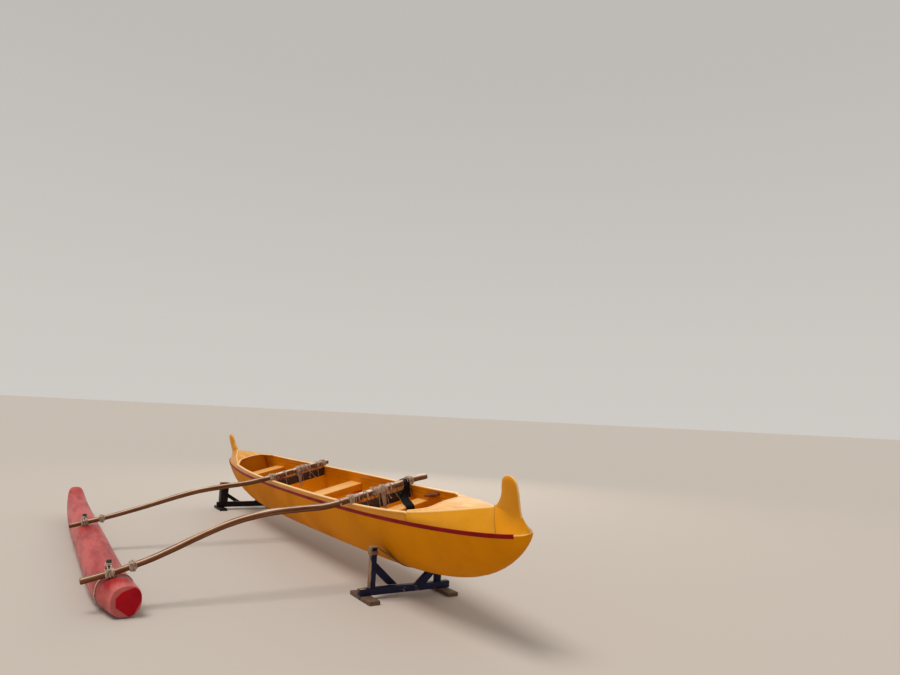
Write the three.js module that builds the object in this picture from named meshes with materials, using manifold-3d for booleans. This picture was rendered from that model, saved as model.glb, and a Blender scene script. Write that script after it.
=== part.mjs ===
// A small outrigger canoe, parked on two trestles with its float on the ground.
// Millimetres, +X to the bow, +Y to port (the float's side), +Z up, the ground at z = 0.
import * as THREE from 'three';
import { mergeVertices } from 'three/addons/utils/BufferGeometryUtils.js';
import Module from 'manifold-3d';

const wasm = await Module();
wasm.setup();

const GAP = 0.3; // clearance between neighbouring pieces
const WIDE = 400; // past the hull's side, for boards that are trimmed to its inside

// Hull form, in the canoe's own frame: x = 0 amidships, z = 0 at the keel amidships.
const HALF_LENGTH = 3175;
const HALF_BEAM = 296;
const STEM_HALF_WIDTH = 8;
const PLAN_POWER = 2.32;
const PLAN_ROOT = 0.54;
const STRIPE_HEIGHT = 464.5;
const STEM_HEIGHT = 496;
const STRIPE_SHEER_POWER = 3.3;
const STRAKE_HEIGHT = 53;
const STRAKE_END_HEIGHT = 202;
const STRAKE_POWER = 4.55;
const KEEL_ROCKER = 18;
const STEM_POWER = 6;
const STEM_ROOT = 0.83;
const SECTION_POWER = 1.03; // exponent on sine and cosine, 1 is an ellipse
const SHELL_THICKNESS = 11;
const STRAKE_THICKNESS = 10;
const LEDGE = 4; // the strake stands this far inside the shell's face
const STRIPE_WIDTH = 17;
const STRIPE_THICKNESS = 2.5;
const STRIPE_BOW_X = 3120;
const STRIPE_STERN_X = -3080;
const CAVITY_END_X = 2990;
const CAVITY_TOP = 260;
const GUNWALE_HEIGHT = 13;
const GUNWALE_WIDTH = 24;
const MANU_X = 2860; // where the strakes end against the end pieces

// Decks
const DECK_EDGE_X = 2130;
const DECK_EDGE_SWEEP = 140;
const DECK_CROWN = 26;
const DECK_THICKNESS = 9;
const DECK_LIP = 26;
const BULKHEAD_X = 2330;
const BULKHEAD_THICKNESS = 12;

// End fins, as distances in from the stem tip and heights
const FIN_THICKNESS = { bow_manu: 50, stern_manu: 30 };
const FIN_BEVEL = 7;
const FIN_OUTLINE = [
  [316, 618], [255, 646], [214, 686], [195, 722], [180, 765], [160, 798], [132, 819],
  [100, 826], [64, 820], [40, 802], [31, 765], [32, 728], [42, 675], [52, 625], [53, 588],
];
const FIN_FOOT = [[46, 560], [80, 536], [220, 556]];

// Seats: centre x and width along the hull, and the stance of the ledgers under them
const SEAT_TOP = 420;
const SEAT_THICKNESS = 24;
const LEDGER_DEPTH = 32;
const LEDGER_LENGTH = 30;
const SEATS = [
  { name: 'fwd', x: 1930, width: 235 },
  { name: 'mid', x: -182, width: 235 },
  { name: 'aft', x: -1505, width: 150 },
];

// Crossbeams: their x, and the centre line as points [y, rise above its height over the hull]
const BEAM_WIDTH = 60;
const BEAM_HEIGHT = 44;
const BEAM_TIP_WIDTH = 50;
const BEAM_TIP_HEIGHT = 36;
const BEAM_TAPER_FROM = 900;
const BEAM_TAPER_TO = 1950;
const BEAM_CHAMFER = 8;
const WRAP = 6; // thickness of what is wound round a beam
const LASHING_WIDTH = { rail: 46, centre: 44, float: 64 };
const CROSSBEAMS = [
  { name: 'aft', x: -1326,
    line: [[-415, -8], [-330, -1.5], [-290, 0], [-200, 0], [60, 0], [342, 0], [362, 0], [490, 9],
      [665, 45], [860, 82], [1050, 98], [1222, 93], [1393, 71.5], [1559, 45], [1717, 25.6], [1888, 19.2],
      [1985, 21.1], [2110, 27.1]] },
  { name: 'fwd', x: 601,
    line: [[-330, 0], [-100, 0], [120, 0], [342, 0], [362, 0], [540, 11], [764, 40], [993, 63.8],
      [1219, 64.8], [1446, 57.3], [1650, 54.6], [1790, 56.4], [1907, 61.7], [2070, 69.6]] },
];
const SPREADER_TOP = 498;
const SPREADER_HEIGHT = 78;
const SPREADER_THICKNESS = 26;

// How the canoe sits: rolled to port and a little down by the bow
const ROLL = 0.266;
const PITCH = 0.015;
const KEEL_LIFT = 168.6;

// Float, in the parked frame: stations [x, y, z of the centre, half width, half height]
const FLOAT_STATIONS = [
  [-1540, 1940, 97, 84, 90],
  [-1500, 1946, 100, 92, 95],
  [-1400, 1964, 104, 103, 102],
  [-1250, 1984, 106, 112, 106],
  [-1000, 1998, 107, 117, 107],
  [-600, 2002, 107, 118, 107],
  [0, 2002, 107, 118, 107],
  [600, 2002, 107, 118, 107],
  [1100, 2002, 109, 116, 107],
  [1500, 2002, 115, 112, 104],
  [1850, 2002, 131, 106, 97],
  [2100, 2002, 154, 99, 83],
  [2300, 2002, 184, 91, 66],
  [2450, 2002, 217, 83, 49],
  [2560, 2002, 250, 74, 34],
  [2630, 2002, 276, 60, 22],
  [2668, 2002, 292, 38, 13],
];
const FLOAT_SECTION_POWER = 0.86;
const FLOAT_FACE_THICKNESS = 5;
const FLOAT_BAND_X = -1276;
const PEG_RADIUS = 18;
const PEG_HEIGHT = 80;
const PEG_FOOT = 30; // more of it, cut to the float's surface
const PEG_AHEAD = 105; // of the crossbeam's centre line
const LASHING_ASIDE = 36; // peg and lashing to port of the float's middle, where the beam bears

// Trestles: where they stand and the lumber they are made of
const FOOT_HEIGHT = 28;
const FOOT_LENGTH = 330;
const FOOT_WIDTH = 85;
const FOOT_INSET = 10; // from the base beam's end
const SLING_WIDTH = 60;
const SLING_THICKNESS = 4;
const TRESTLES = [
  { name: 'aft', x: -1687, y: 86, halfLength: 372, postInner: 252, postY: 44, postX: 46,
    beamHeight: 50, beamX: 46, postTop: 362, braceTop: 262, braceFoot: 52, braceDepth: 50 },
  { name: 'fwd', x: 2674, y: 53, halfLength: 372, postInner: 252, postY: 88, postX: 118,
    beamHeight: 62, beamX: 46, postTop: 326, braceTop: 200, braceFoot: 78, braceDepth: 42 },
];

// Small fittings inside the hull
const CLEAT_X = -1715;
const CLEAT_Z = 484;
const CLEAT_LENGTH = 220;
const CLEAT_HEIGHT = 26;
const CLEAT_DEPTH = 26;
const CLEAT_TILT = 0.17; // its after end is the higher one
const STRAP_Y = -214;
const STRAP_WIDTH = 46;
const STRAP_THICKNESS = 3;
const STRAP_FOLD = 9; // thickness of the folded tail
const STRAP_TAIL = [ // middle of the tail from the beam over the aft seat, and a slant of its width
  [-1361, -214, 545, 0], [-1361, -200, 505, 0], [-1364, -178, 462, 0.1], [-1378, -163, 433, 0.3],
  [-1400, -155, 427.5, 0.34], [-1425, -146, 425.8, 0.34], [-1550, -101, 425.4, 0.2],
  [-1572, -98, 427, 0], [-1587, -94, 424, 0], [-1587, -92, 408, 0], [-1587, -88, 345, 0],
];

const COLOURS = {
  yellow: new THREE.MeshStandardMaterial({ color: 0xe0a212, roughness: 0.35 }),
  crimson: new THREE.MeshStandardMaterial({ color: 0x8a1420, roughness: 0.4 }),
  wood: new THREE.MeshStandardMaterial({ color: 0xb07a45, roughness: 0.5 }),
  darkWood: new THREE.MeshStandardMaterial({ color: 0x33291f, roughness: 0.7 }),
  rope: new THREE.MeshStandardMaterial({ color: 0xd8cdb8, roughness: 0.9 }),
  pink: new THREE.MeshStandardMaterial({ color: 0xd4525a, roughness: 0.5 }),
  red: new THREE.MeshStandardMaterial({ color: 0xb00818, roughness: 0.5 }),
  plank: new THREE.MeshStandardMaterial({ color: 0x6e5440, roughness: 0.8 }),
  blue: new THREE.MeshStandardMaterial({ color: 0x1d2350, roughness: 0.6 }),
  black: new THREE.MeshStandardMaterial({ color: 0x151214, roughness: 0.7 }),
  webbing: new THREE.MeshStandardMaterial({ color: 0xa9845a, roughness: 0.9 }),
  strap: new THREE.MeshStandardMaterial({ color: 0x17161a, roughness: 0.8 }),
};

// Hull curves, each a function of x
const fraction = (x) => Math.min(Math.abs(x) / HALF_LENGTH, 1);
const halfBeam = (x) => STEM_HALF_WIDTH
  + (HALF_BEAM - STEM_HALF_WIDTH) * Math.max(0, 1 - fraction(x) ** PLAN_POWER) ** PLAN_ROOT;
const stripeZ = (x) => STRIPE_HEIGHT + (STEM_HEIGHT - STRIPE_HEIGHT) * fraction(x) ** STRIPE_SHEER_POWER;
const sheerZ = (x) => stripeZ(x) + STRAKE_HEIGHT
  + (STRAKE_END_HEIGHT - STRAKE_HEIGHT) * fraction(x) ** STRAKE_POWER;
const keelZ = (x) => {
  const rocker = KEEL_ROCKER * fraction(x) ** 2;
  const rise = 1 - Math.max(0, 1 - fraction(x) ** STEM_POWER) ** STEM_ROOT;
  return rocker + (STEM_HEIGHT - STEM_HALF_WIDTH - rocker) * rise;
};
const strakeY = (x) => halfBeam(x) - LEDGE;

// Stations along the hull, closer together towards the stems, shared by all that follows it
const STATION_STEPS = 34;
const fullStations = Array.from({ length: STATION_STEPS + 1 },
  (_, i) => HALF_LENGTH * Math.sin((Math.PI * (i / STATION_STEPS - 0.5))));
const stationsBetween = (from, to) => [
  from, ...fullStations.filter((x) => x > from + 15 && x < to - 15), to];

// Half of a hull section from the stripe down to the keel, [y, z], grown outwards by offset
const SECTION_STEPS = 8;
function halfSection(x, offset = 0) {
  const beam = halfBeam(x) + offset;
  const depth = stripeZ(x) - keelZ(x) + offset;
  const points = [[beam, stripeZ(x)]];
  const edge = Math.asin(Math.min(STRIPE_WIDTH / depth, 0.9) ** (1 / SECTION_POWER));
  for (let i = 0; i < SECTION_STEPS; i++) {
    const angle = edge + ((Math.PI / 2 - edge) * i) / (SECTION_STEPS - 1);
    points.push([beam * Math.cos(angle) ** SECTION_POWER,
      stripeZ(x) - depth * Math.sin(angle) ** SECTION_POWER]);
  }
  points[SECTION_STEPS][0] = 0;
  return points;
}

const mirrored = (half) => [...half, ...half.slice(0, -1).reverse().map(([y, z]) => [-y, z])];
const ringAt = (x, points) => points.map(([y, z]) => new THREE.Vector3(x, y, z));

// A closed solid through rings of equal point counts. Caps fan from each end ring's middle, or
// run as quads between its two halves when the ring is a thin wall folded back on itself.
function loft(rings, { folded = false } = {}) {
  const count = rings[0].length;
  const vertices = rings.flat();
  const faces = [];
  const quad = (a, b, c, d) => faces.push([a, b, c], [a, c, d]);
  for (let r = 0; r < rings.length - 1; r++) {
    for (let i = 0; i < count; i++) {
      const j = (i + 1) % count;
      quad(r * count + i, r * count + j, (r + 1) * count + j, (r + 1) * count + i);
    }
  }
  for (const [start, flip] of [[0, true], [(rings.length - 1) * count, false]]) {
    const cap = [];
    if (folded) {
      for (let i = 0; i < count / 2 - 1; i++) {
        const [a, b, c, d] = [i, i + 1, count - 2 - i, count - 1 - i];
        cap.push([a, b, c], [a, c, d]);
      }
    } else {
      const middle = vertices.length - start;
      const ring = vertices.slice(start, start + count);
      vertices.push(ring.reduce((sum, p) => sum.add(p), new THREE.Vector3()).divideScalar(count));
      for (let i = 0; i < count; i++) cap.push([i, (i + 1) % count, middle]);
    }
    for (const [a, b, c] of cap) faces.push((flip ? [a, c, b] : [a, b, c]).map((k) => k + start));
  }
  return facesOut(vertices, faces);
}

// Merges the points, drops faces that have collapsed, and turns every face outwards
function facesOut(vertices, faces) {
  const geometry = new THREE.BufferGeometry();
  const positions = vertices.flatMap((p) => [p.x, p.y, p.z]);
  geometry.setAttribute('position', new THREE.Float32BufferAttribute(positions, 3));
  geometry.setIndex(faces.flat());
  const merged = mergeVertices(geometry, 1e-3);
  const index = Array.from(merged.index.array);
  const at = (i) => new THREE.Vector3().fromBufferAttribute(merged.attributes.position, i);
  const kept = [];
  let volume = 0;
  for (let i = 0; i < index.length; i += 3) {
    const [a, b, c] = index.slice(i, i + 3);
    if (a === b || b === c || c === a) continue;
    kept.push([a, b, c]);
    volume += at(a).dot(at(b).cross(at(c)));
  }
  merged.setIndex(kept.flatMap(([a, b, c]) => (volume < 0 ? [a, c, b] : [a, b, c])));
  return merged;
}

const bare = (geometry) => {
  const copy = geometry.clone();
  copy.deleteAttribute('normal');
  copy.deleteAttribute('uv');
  return mergeVertices(copy, 1e-3);
};
const toSolid = (geometry) => {
  const clean = bare(geometry);
  return new wasm.Manifold(new wasm.Mesh({
    numProp: 3,
    vertProperties: new Float32Array(clean.attributes.position.array),
    triVerts: new Uint32Array(clean.index.array),
  }));
};
const toGeometry = (solid) => {
  const mesh = solid.getMesh();
  const geometry = new THREE.BufferGeometry();
  geometry.setAttribute('position', new THREE.BufferAttribute(new Float32Array(mesh.vertProperties), 3));
  geometry.setIndex(new THREE.BufferAttribute(new Uint32Array(mesh.triVerts), 1));
  return geometry;
};
const box = (x0, x1, y0, y1, z0, z1) => new THREE.BoxGeometry(x1 - x0, y1 - y0, z1 - z0)
  .translate((x0 + x1) / 2, (y0 + y1) / 2, (z0 + z1) / 2);

// Turns a point or a geometry of the canoe's frame into the parked frame
const canoePose = new THREE.Matrix4().compose(
  new THREE.Vector3(0, 0, KEEL_LIFT),
  new THREE.Quaternion().setFromEuler(new THREE.Euler(-ROLL, PITCH, 0, 'YXZ')),
  new THREE.Vector3(1, 1, 1),
);

const boat = new THREE.Group();
const canoe = new THREE.Group();
canoe.applyMatrix4(canoePose);
boat.add(canoe);
function place(group, name, geometry, material) {
  const mesh = new THREE.Mesh(geometry, material);
  mesh.name = name;
  group.add(mesh);
}

// Solids that only cut or are cut: the hull's outside, and the room inside it
const hullVolume = (offset) => loft(fullStations.map((x) => ringAt(x, mirrored(halfSection(x, offset)))));
const cavityRing = (x, extra = 0) => {
  const half = halfSection(x, -SHELL_THICKNESS - extra);
  const wall = strakeY(x) - STRAKE_THICKNESS - extra;
  const side = [[wall, stripeZ(x) + CAVITY_TOP], [wall, stripeZ(x) + GAP]];
  return ringAt(x, mirrored([...side, ...half]));
};
const cavityVolume = (extra, endX = CAVITY_END_X) => {
  return loft(stationsBetween(-endX, endX).map((x) => cavityRing(x, extra)));
};

function addShell() {
  const shell = toSolid(hullVolume(0)).subtract(toSolid(cavityVolume(0)));
  place(canoe, 'hull_shell', toGeometry(shell), COLOURS.yellow);
}

function addStrakes() {
  const stations = stationsBetween(-MANU_X + GAP, MANU_X - GAP);
  const low = (x) => stripeZ(x) + GAP;
  const high = (x) => sheerZ(x) - GUNWALE_HEIGHT;
  for (const [side, sign] of [['port', 1], ['starboard', -1]]) {
    const rings = stations.map((x) => {
      const out = strakeY(x);
      const inner = out - STRAKE_THICKNESS;
      const corners = [[out, low(x)], [out, high(x)], [inner, high(x)], [inner, low(x)]];
      return ringAt(x, corners.map(([y, z]) => [sign * y, z]));
    });
    place(canoe, `strake_${side}`, loft(rings), COLOURS.yellow);
  }
}

function addStripes() {
  const stations = stationsBetween(STRIPE_STERN_X, STRIPE_BOW_X);
  for (const [side, sign] of [['port', 1], ['starboard', -1]]) {
    const rings = stations.map((x) => {
      const [top, bottom] = halfSection(x);
      const inner = GAP;
      const outer = GAP + STRIPE_THICKNESS;
      return ringAt(x, [[top[0] + inner, top[1]], [top[0] + outer, top[1]],
        [bottom[0] + outer, bottom[1]], [bottom[0] + inner, bottom[1]]].map(([y, z]) => [sign * y, z]));
    });
    place(canoe, `stripe_${side}`, loft(rings), COLOURS.crimson);
  }
}

function addGunwales() {
  const stations = stationsBetween(-DECK_EDGE_X + GAP, DECK_EDGE_X - GAP);
  for (const [side, sign] of [['port', 1], ['starboard', -1]]) {
    const rings = stations.map((x) => {
      const out = strakeY(x) + 4;
      const inner = out - GUNWALE_WIDTH;
      const low = sheerZ(x) - GUNWALE_HEIGHT + GAP;
      const top = sheerZ(x);
      return ringAt(x, [[out, low], [out, top - 4], [out - 5, top], [inner + 5, top], [inner, top - 4],
        [inner, low]].map(([y, z]) => [sign * y, z]));
    });
    place(canoe, `gunwale_${side}`, loft(rings), COLOURS.yellow);
  }
}

// A crowned deck plate. Its cockpit edge bows towards the stem and turns down in a lip.
const DECK_POINTS = 7;
function deckRing(along, sign) {
  const top = [];
  const under = [];
  for (let i = 0; i < DECK_POINTS; i++) {
    const t = 1 - (2 * i) / (DECK_POINTS - 1);
    const edgeX = DECK_EDGE_X + DECK_EDGE_SWEEP * (1 - t * t);
    const x = sign * (edgeX + (MANU_X - GAP - edgeX) * along);
    const y = t * (strakeY(x) + 3);
    const crown = DECK_CROWN * (1 - t * t);
    const onStrake = Math.abs(t) > 0.99;
    const thick = onStrake ? GUNWALE_HEIGHT - 3 * GAP : DECK_THICKNESS + (along === 0 ? DECK_LIP : 0);
    top.push(new THREE.Vector3(x, y, sheerZ(x) + crown));
    under.push(new THREE.Vector3(x, y, sheerZ(x) + crown - thick));
    if (onStrake) {
      const inner = Math.sign(t) * (Math.abs(y) - STRAKE_THICKNESS - 6);
      const innerPoint = new THREE.Vector3(x, inner, sheerZ(x) - GUNWALE_HEIGHT + 3 * GAP);
      const topPoint = new THREE.Vector3(x, inner, sheerZ(x) + crown);
      if (t > 0) { top.push(topPoint); under.push(innerPoint); } else {
        top.splice(-1, 0, topPoint);
        under.splice(-1, 0, innerPoint);
      }
    }
  }
  return [...top, ...under.reverse()];
}

function addDecks() {
  const steps = [0, 0.04, 0.15, 0.3, 0.45, 0.6, 0.75, 0.88, 1];
  for (const [name, sign] of [['bow_deck', 1], ['stern_deck', -1]]) {
    place(canoe, name, loft(steps.map((along) => deckRing(along, sign)), { folded: true }), COLOURS.yellow);
  }
}

function addBulkheads() {
  for (const [name, sign] of [['bow_bulkhead', 1], ['stern_bulkhead', -1]]) {
    const x = sign * BULKHEAD_X;
    const plate = box(x - BULKHEAD_THICKNESS / 2, x + BULKHEAD_THICKNESS / 2, -WIDE, WIDE, 0,
      sheerZ(x) - GUNWALE_HEIGHT + GAP);
    place(canoe, name, toGeometry(toSolid(plate).intersect(toSolid(cavityVolume(GAP)))), COLOURS.yellow);
  }
}

// The end piece: a block that closes the strakes, and the upright fin that stands on it
const MANU_STEPS = [0, 55, 115, 175, 225, 265, 295, 314];
function addManus() {
  const edge = new THREE.SplineCurve(FIN_OUTLINE.map(([a, z]) => new THREE.Vector2(a, z)));
  const outline = new THREE.Shape(edge.getPoints(40));
  for (const [a, z] of FIN_FOOT) outline.lineTo(a, z);
  for (const [name, sign] of [['bow_manu', 1], ['stern_manu', -1]]) {
    const rings = MANU_STEPS.map((step) => {
      const x = MANU_X + step;
      const t = step / (HALF_LENGTH - MANU_X);
      const low = stripeZ(x) + GAP;
      const wide = strakeY(x);
      const shoulderY = Math.max(4, strakeY(MANU_X) * (1 - t) ** 1.6);
      const shoulderZ = low + Math.max(5, (sheerZ(MANU_X) - 4 - low) * (1 - t ** 2.2));
      const ridge = shoulderZ + DECK_CROWN * (1 - t) + 4;
      const half = [[Math.max(4, wide), low],
        [Math.max(4, (wide * 2 + shoulderY) / 3), low + (shoulderZ - low) * 0.5],
        [shoulderY, shoulderZ], [shoulderY * 0.5, shoulderZ + (ridge - shoulderZ) * 0.75], [0, ridge]];
      return ringAt(sign * x, mirrored(half));
    });
    const thickness = FIN_THICKNESS[name];
    const fin = new THREE.ExtrudeGeometry(outline, {
      depth: thickness - 2 * FIN_BEVEL, bevelEnabled: true, bevelThickness: FIN_BEVEL,
      bevelSize: FIN_BEVEL, bevelOffset: -FIN_BEVEL, bevelSegments: 2,
    }).translate(0, 0, -thickness / 2 + FIN_BEVEL).rotateX(Math.PI / 2);
    if (sign > 0) fin.rotateZ(Math.PI);
    fin.translate(sign * HALF_LENGTH, 0, 0);
    place(canoe, name, toGeometry(toSolid(loft(rings)).add(toSolid(fin))), COLOURS.yellow);
  }
}

function addSeats() {
  const room = toSolid(cavityVolume(GAP));
  for (const { name, x, width } of SEATS) {
    const [aft, fore] = [x - width / 2, x + width / 2];
    const plank = box(aft, fore, -WIDE, WIDE, SEAT_TOP - SEAT_THICKNESS, SEAT_TOP);
    place(canoe, `seat_${name}`, toGeometry(toSolid(plank).intersect(room)), COLOURS.yellow);
    const top = SEAT_TOP - SEAT_THICKNESS - GAP;
    const inner = halfBeam(Math.abs(x) + width / 2) * 0.9 - SHELL_THICKNESS - LEDGER_LENGTH;
    for (const [side, reach] of [['port', [inner, WIDE]], ['starboard', [-WIDE, -inner]]]) {
      const ledger = toSolid(box(aft, fore, ...reach, top - LEDGER_DEPTH, top)).intersect(room);
      place(canoe, `seat_ledger_${name}_${side}`, toGeometry(ledger), COLOURS.yellow);
    }
  }
}

// A beam through a centre line in a plane of constant x, with a chamfered section that tapers
const beamLevel = (x) => sheerZ(x) + 4 * GAP + WRAP + BEAM_HEIGHT / 2;
const beamCurve = ({ x, line }) => new THREE.CatmullRomCurve3(
  line.map(([y, rise]) => new THREE.Vector3(x, y, beamLevel(x) + rise)));
function beamSize(y) {
  const t = THREE.MathUtils.smoothstep(y, BEAM_TAPER_FROM, BEAM_TAPER_TO);
  return [[BEAM_WIDTH, BEAM_TIP_WIDTH], [BEAM_HEIGHT, BEAM_TIP_HEIGHT]]
    .map(([full, tip]) => THREE.MathUtils.lerp(full, tip, t));
}
function beamGeometry(beam, grow = 0) {
  const curve = beamCurve(beam);
  const steps = 34;
  const rings = [];
  for (let i = 0; i <= steps; i++) {
    const p = curve.getPointAt(i / steps);
    const tangent = curve.getTangentAt(i / steps);
    const up = new THREE.Vector3(0, -tangent.z, tangent.y);
    const [w, h] = beamSize(p.y).map((size) => size / 2 + grow);
    rings.push([[w, h - BEAM_CHAMFER], [w - BEAM_CHAMFER, h], [BEAM_CHAMFER - w, h], [-w, h - BEAM_CHAMFER],
      [-w, BEAM_CHAMFER - h], [BEAM_CHAMFER - w, -h], [w - BEAM_CHAMFER, -h], [w, BEAM_CHAMFER - h]]
      .map(([across, rise]) => p.clone().add(new THREE.Vector3(across, 0, 0)).addScaledVector(up, rise)));
  }
  return loft(rings);
}

// What is wound round a crossbeam: a sleeve that follows it over a stretch of y
function beamSleeve(beam, y, width, thickness) {
  const sleeve = toSolid(beamGeometry(beam, GAP + thickness)).subtract(toSolid(beamGeometry(beam, GAP)));
  return sleeve.intersect(toSolid(box(beam.x - 100, beam.x + 100, y - width / 2, y + width / 2, 0, 1000)));
}

// A square band round a box section
function band(width, insideX, insideZ, thickness) {
  const outer = toSolid(new THREE.BoxGeometry(insideX + 2 * thickness, width, insideZ + 2 * thickness));
  return toGeometry(outer.subtract(toSolid(new THREE.BoxGeometry(insideX, width + 2, insideZ))));
}
function addCrossbeams() {
  const room = toSolid(cavityVolume(GAP));
  for (const beam of CROSSBEAMS) {
    place(canoe, `crossbeam_${beam.name}`, beamGeometry(beam), COLOURS.wood);
    const level = beamLevel(beam.x);
    for (const [side, sign] of [['port', 1], ['starboard', -1]]) {
      const y = sign * (strakeY(beam.x) - GUNWALE_WIDTH / 2 + 4);
      const wrap = beamSleeve(beam, y, LASHING_WIDTH.rail, WRAP);
      place(canoe, `lashing_${beam.name}_${side}`, toGeometry(wrap), COLOURS.rope);
    }
    const spreader = box(beam.x - SPREADER_THICKNESS / 2, beam.x + SPREADER_THICKNESS / 2, -WIDE, WIDE,
      SPREADER_TOP - SPREADER_HEIGHT, SPREADER_TOP);
    place(canoe, `spreader_${beam.name}`, toGeometry(toSolid(spreader).intersect(room)), COLOURS.darkWood);
    const beamTop = level + BEAM_HEIGHT / 2 + GAP;
    const spreaderFoot = SPREADER_TOP - SPREADER_HEIGHT - GAP;
    const wrap = band(LASHING_WIDTH.centre, BEAM_WIDTH + 2 * GAP, beamTop - spreaderFoot, WRAP)
      .translate(beam.x, 0, (beamTop + spreaderFoot) / 2);
    place(canoe, `lashing_${beam.name}_centre`, wrap, COLOURS.rope);
  }
}

// The float is lofted along x, with a fuller-than-round section and an upturned tip
const FLOAT_POINTS = 20;
function floatRing([x, y, z, halfWidth, halfHeight], grow = 0) {
  const power = (value) => Math.sign(value) * Math.abs(value) ** FLOAT_SECTION_POWER;
  return Array.from({ length: FLOAT_POINTS }, (_, i) => {
    const angle = (2 * Math.PI * i) / FLOAT_POINTS;
    return new THREE.Vector3(x, y + (halfWidth + grow) * power(Math.cos(angle)),
      z + (halfHeight + grow) * power(Math.sin(angle)));
  });
}
const floatVolume = (grow) => loft(FLOAT_STATIONS.map((station) => floatRing(station, grow)));
function floatAt(x) {
  const next = Math.max(1, FLOAT_STATIONS.findIndex(([stationX]) => stationX >= x));
  const [a, b] = [FLOAT_STATIONS[next - 1], FLOAT_STATIONS[next]];
  const t = (x - a[0]) / (b[0] - a[0]);
  return a.map((value, i) => value + (b[i] - value) * t);
}

function addFloat() {
  place(boat, 'float_body', floatVolume(0), COLOURS.pink);
  const [x, y, z, halfWidth, halfHeight] = FLOAT_STATIONS[0];
  const face = [x - GAP, x - GAP - FLOAT_FACE_THICKNESS].map((faceX) => floatRing(
    [faceX, y, z, halfWidth - 8, halfHeight - 8]));
  place(boat, 'float_face', loft(face), COLOURS.red);
  const band = toSolid(floatVolume(GAP + WRAP)).subtract(toSolid(floatVolume(GAP)))
    .intersect(toSolid(box(FLOAT_BAND_X - 9, FLOAT_BAND_X + 9, 1500, 2500, 8, 400)));
  place(boat, 'float_band', toGeometry(band), COLOURS.rope);
  const clear = toSolid(floatVolume(GAP));
  for (const { name, x: beamX } of CROSSBEAMS) {
    const [pegX, pegY, middle, , rise] = floatAt(beamX + PEG_AHEAD);
    const length = PEG_HEIGHT + PEG_FOOT;
    const peg = new THREE.CylinderGeometry(PEG_RADIUS, PEG_RADIUS, length, 12).rotateX(Math.PI / 2)
      .translate(pegX, pegY + LASHING_ASIDE, middle + rise + PEG_HEIGHT - length / 2);
    place(boat, `float_peg_${name}`, toGeometry(toSolid(peg).subtract(clear)), COLOURS.wood);
  }
}

// The rope that ties each crossbeam down on the float, wrapped round the beam above it
function addFloatLashings() {
  for (const beam of CROSSBEAMS) {
    const curve = beamCurve(beam);
    const y = floatAt(beam.x)[1] + LASHING_ASIDE;
    const level = new THREE.Vector3();
    let at = 0;
    for (let u = 0.7; u < 1; u += 0.0005) {
      curve.getPointAt(u, level).applyMatrix4(canoePose);
      if (level.y < y) at = u;
    }
    const wrap = toGeometry(beamSleeve(beam, curve.getPointAt(at).y, LASHING_WIDTH.float, WRAP));
    place(canoe, `lashing_${beam.name}_float`, wrap, COLOURS.rope);
  }
}

// A webbing sling over the two post tops of a trestle, hanging under the hull. Its two faces
// follow the hull where it bears on it, and run straight from there to the posts.
function addSling({ name, x, y, postInner, postY, postTop }) {
  const toCanoe = canoePose.clone().invert();
  const inCanoe = (sign, reach, lift) => {
    const p = new THREE.Vector3(x, y + sign * reach, postTop + lift).applyMatrix4(toCanoe);
    return [p.y, p.z];
  };
  const hullX = new THREE.Vector3(x, y, KEEL_LIFT).applyMatrix4(toCanoe).x;
  const lift = 3 * GAP;
  const face = (stationX, offset, rise) => {
    const section = mirrored(halfSection(stationX, offset));
    const port = [inCanoe(1, postInner + postY, rise), inCanoe(1, postInner, rise)];
    const starboard = [inCanoe(-1, postInner, rise), inCanoe(-1, postInner + postY, rise)];
    return { section, port, starboard };
  };
  const bearing = (from, section, start, end) => {
    const fall = ([py, pz]) => Math.atan2(from[1] - pz, Math.abs(from[0] - py));
    let best = start;
    for (let i = start; i <= end; i++) if (fall(section[i]) > fall(section[best])) best = i;
    return best;
  };
  const middle = face(hullX, GAP, lift);
  const first = bearing(middle.port[1], middle.section, 0, SECTION_STEPS);
  const last = bearing(middle.starboard[0], middle.section, SECTION_STEPS, 2 * SECTION_STEPS);
  const rings = [-1, 0, 1].map((side) => {
    const stationX = hullX + (side * SLING_WIDTH) / 2;
    const faces = [[GAP + SLING_THICKNESS, lift], [GAP, lift + SLING_THICKNESS]].map(([offset, rise]) => {
      const { section, port, starboard } = face(stationX, offset, rise);
      return [...port, ...section.slice(first, last + 1), ...starboard];
    });
    return ringAt(stationX, [...faces[0], ...faces[1].reverse()]);
  });
  place(canoe, `sling_${name}`, loft(rings, { folded: true }), COLOURS.webbing);
}

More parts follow.
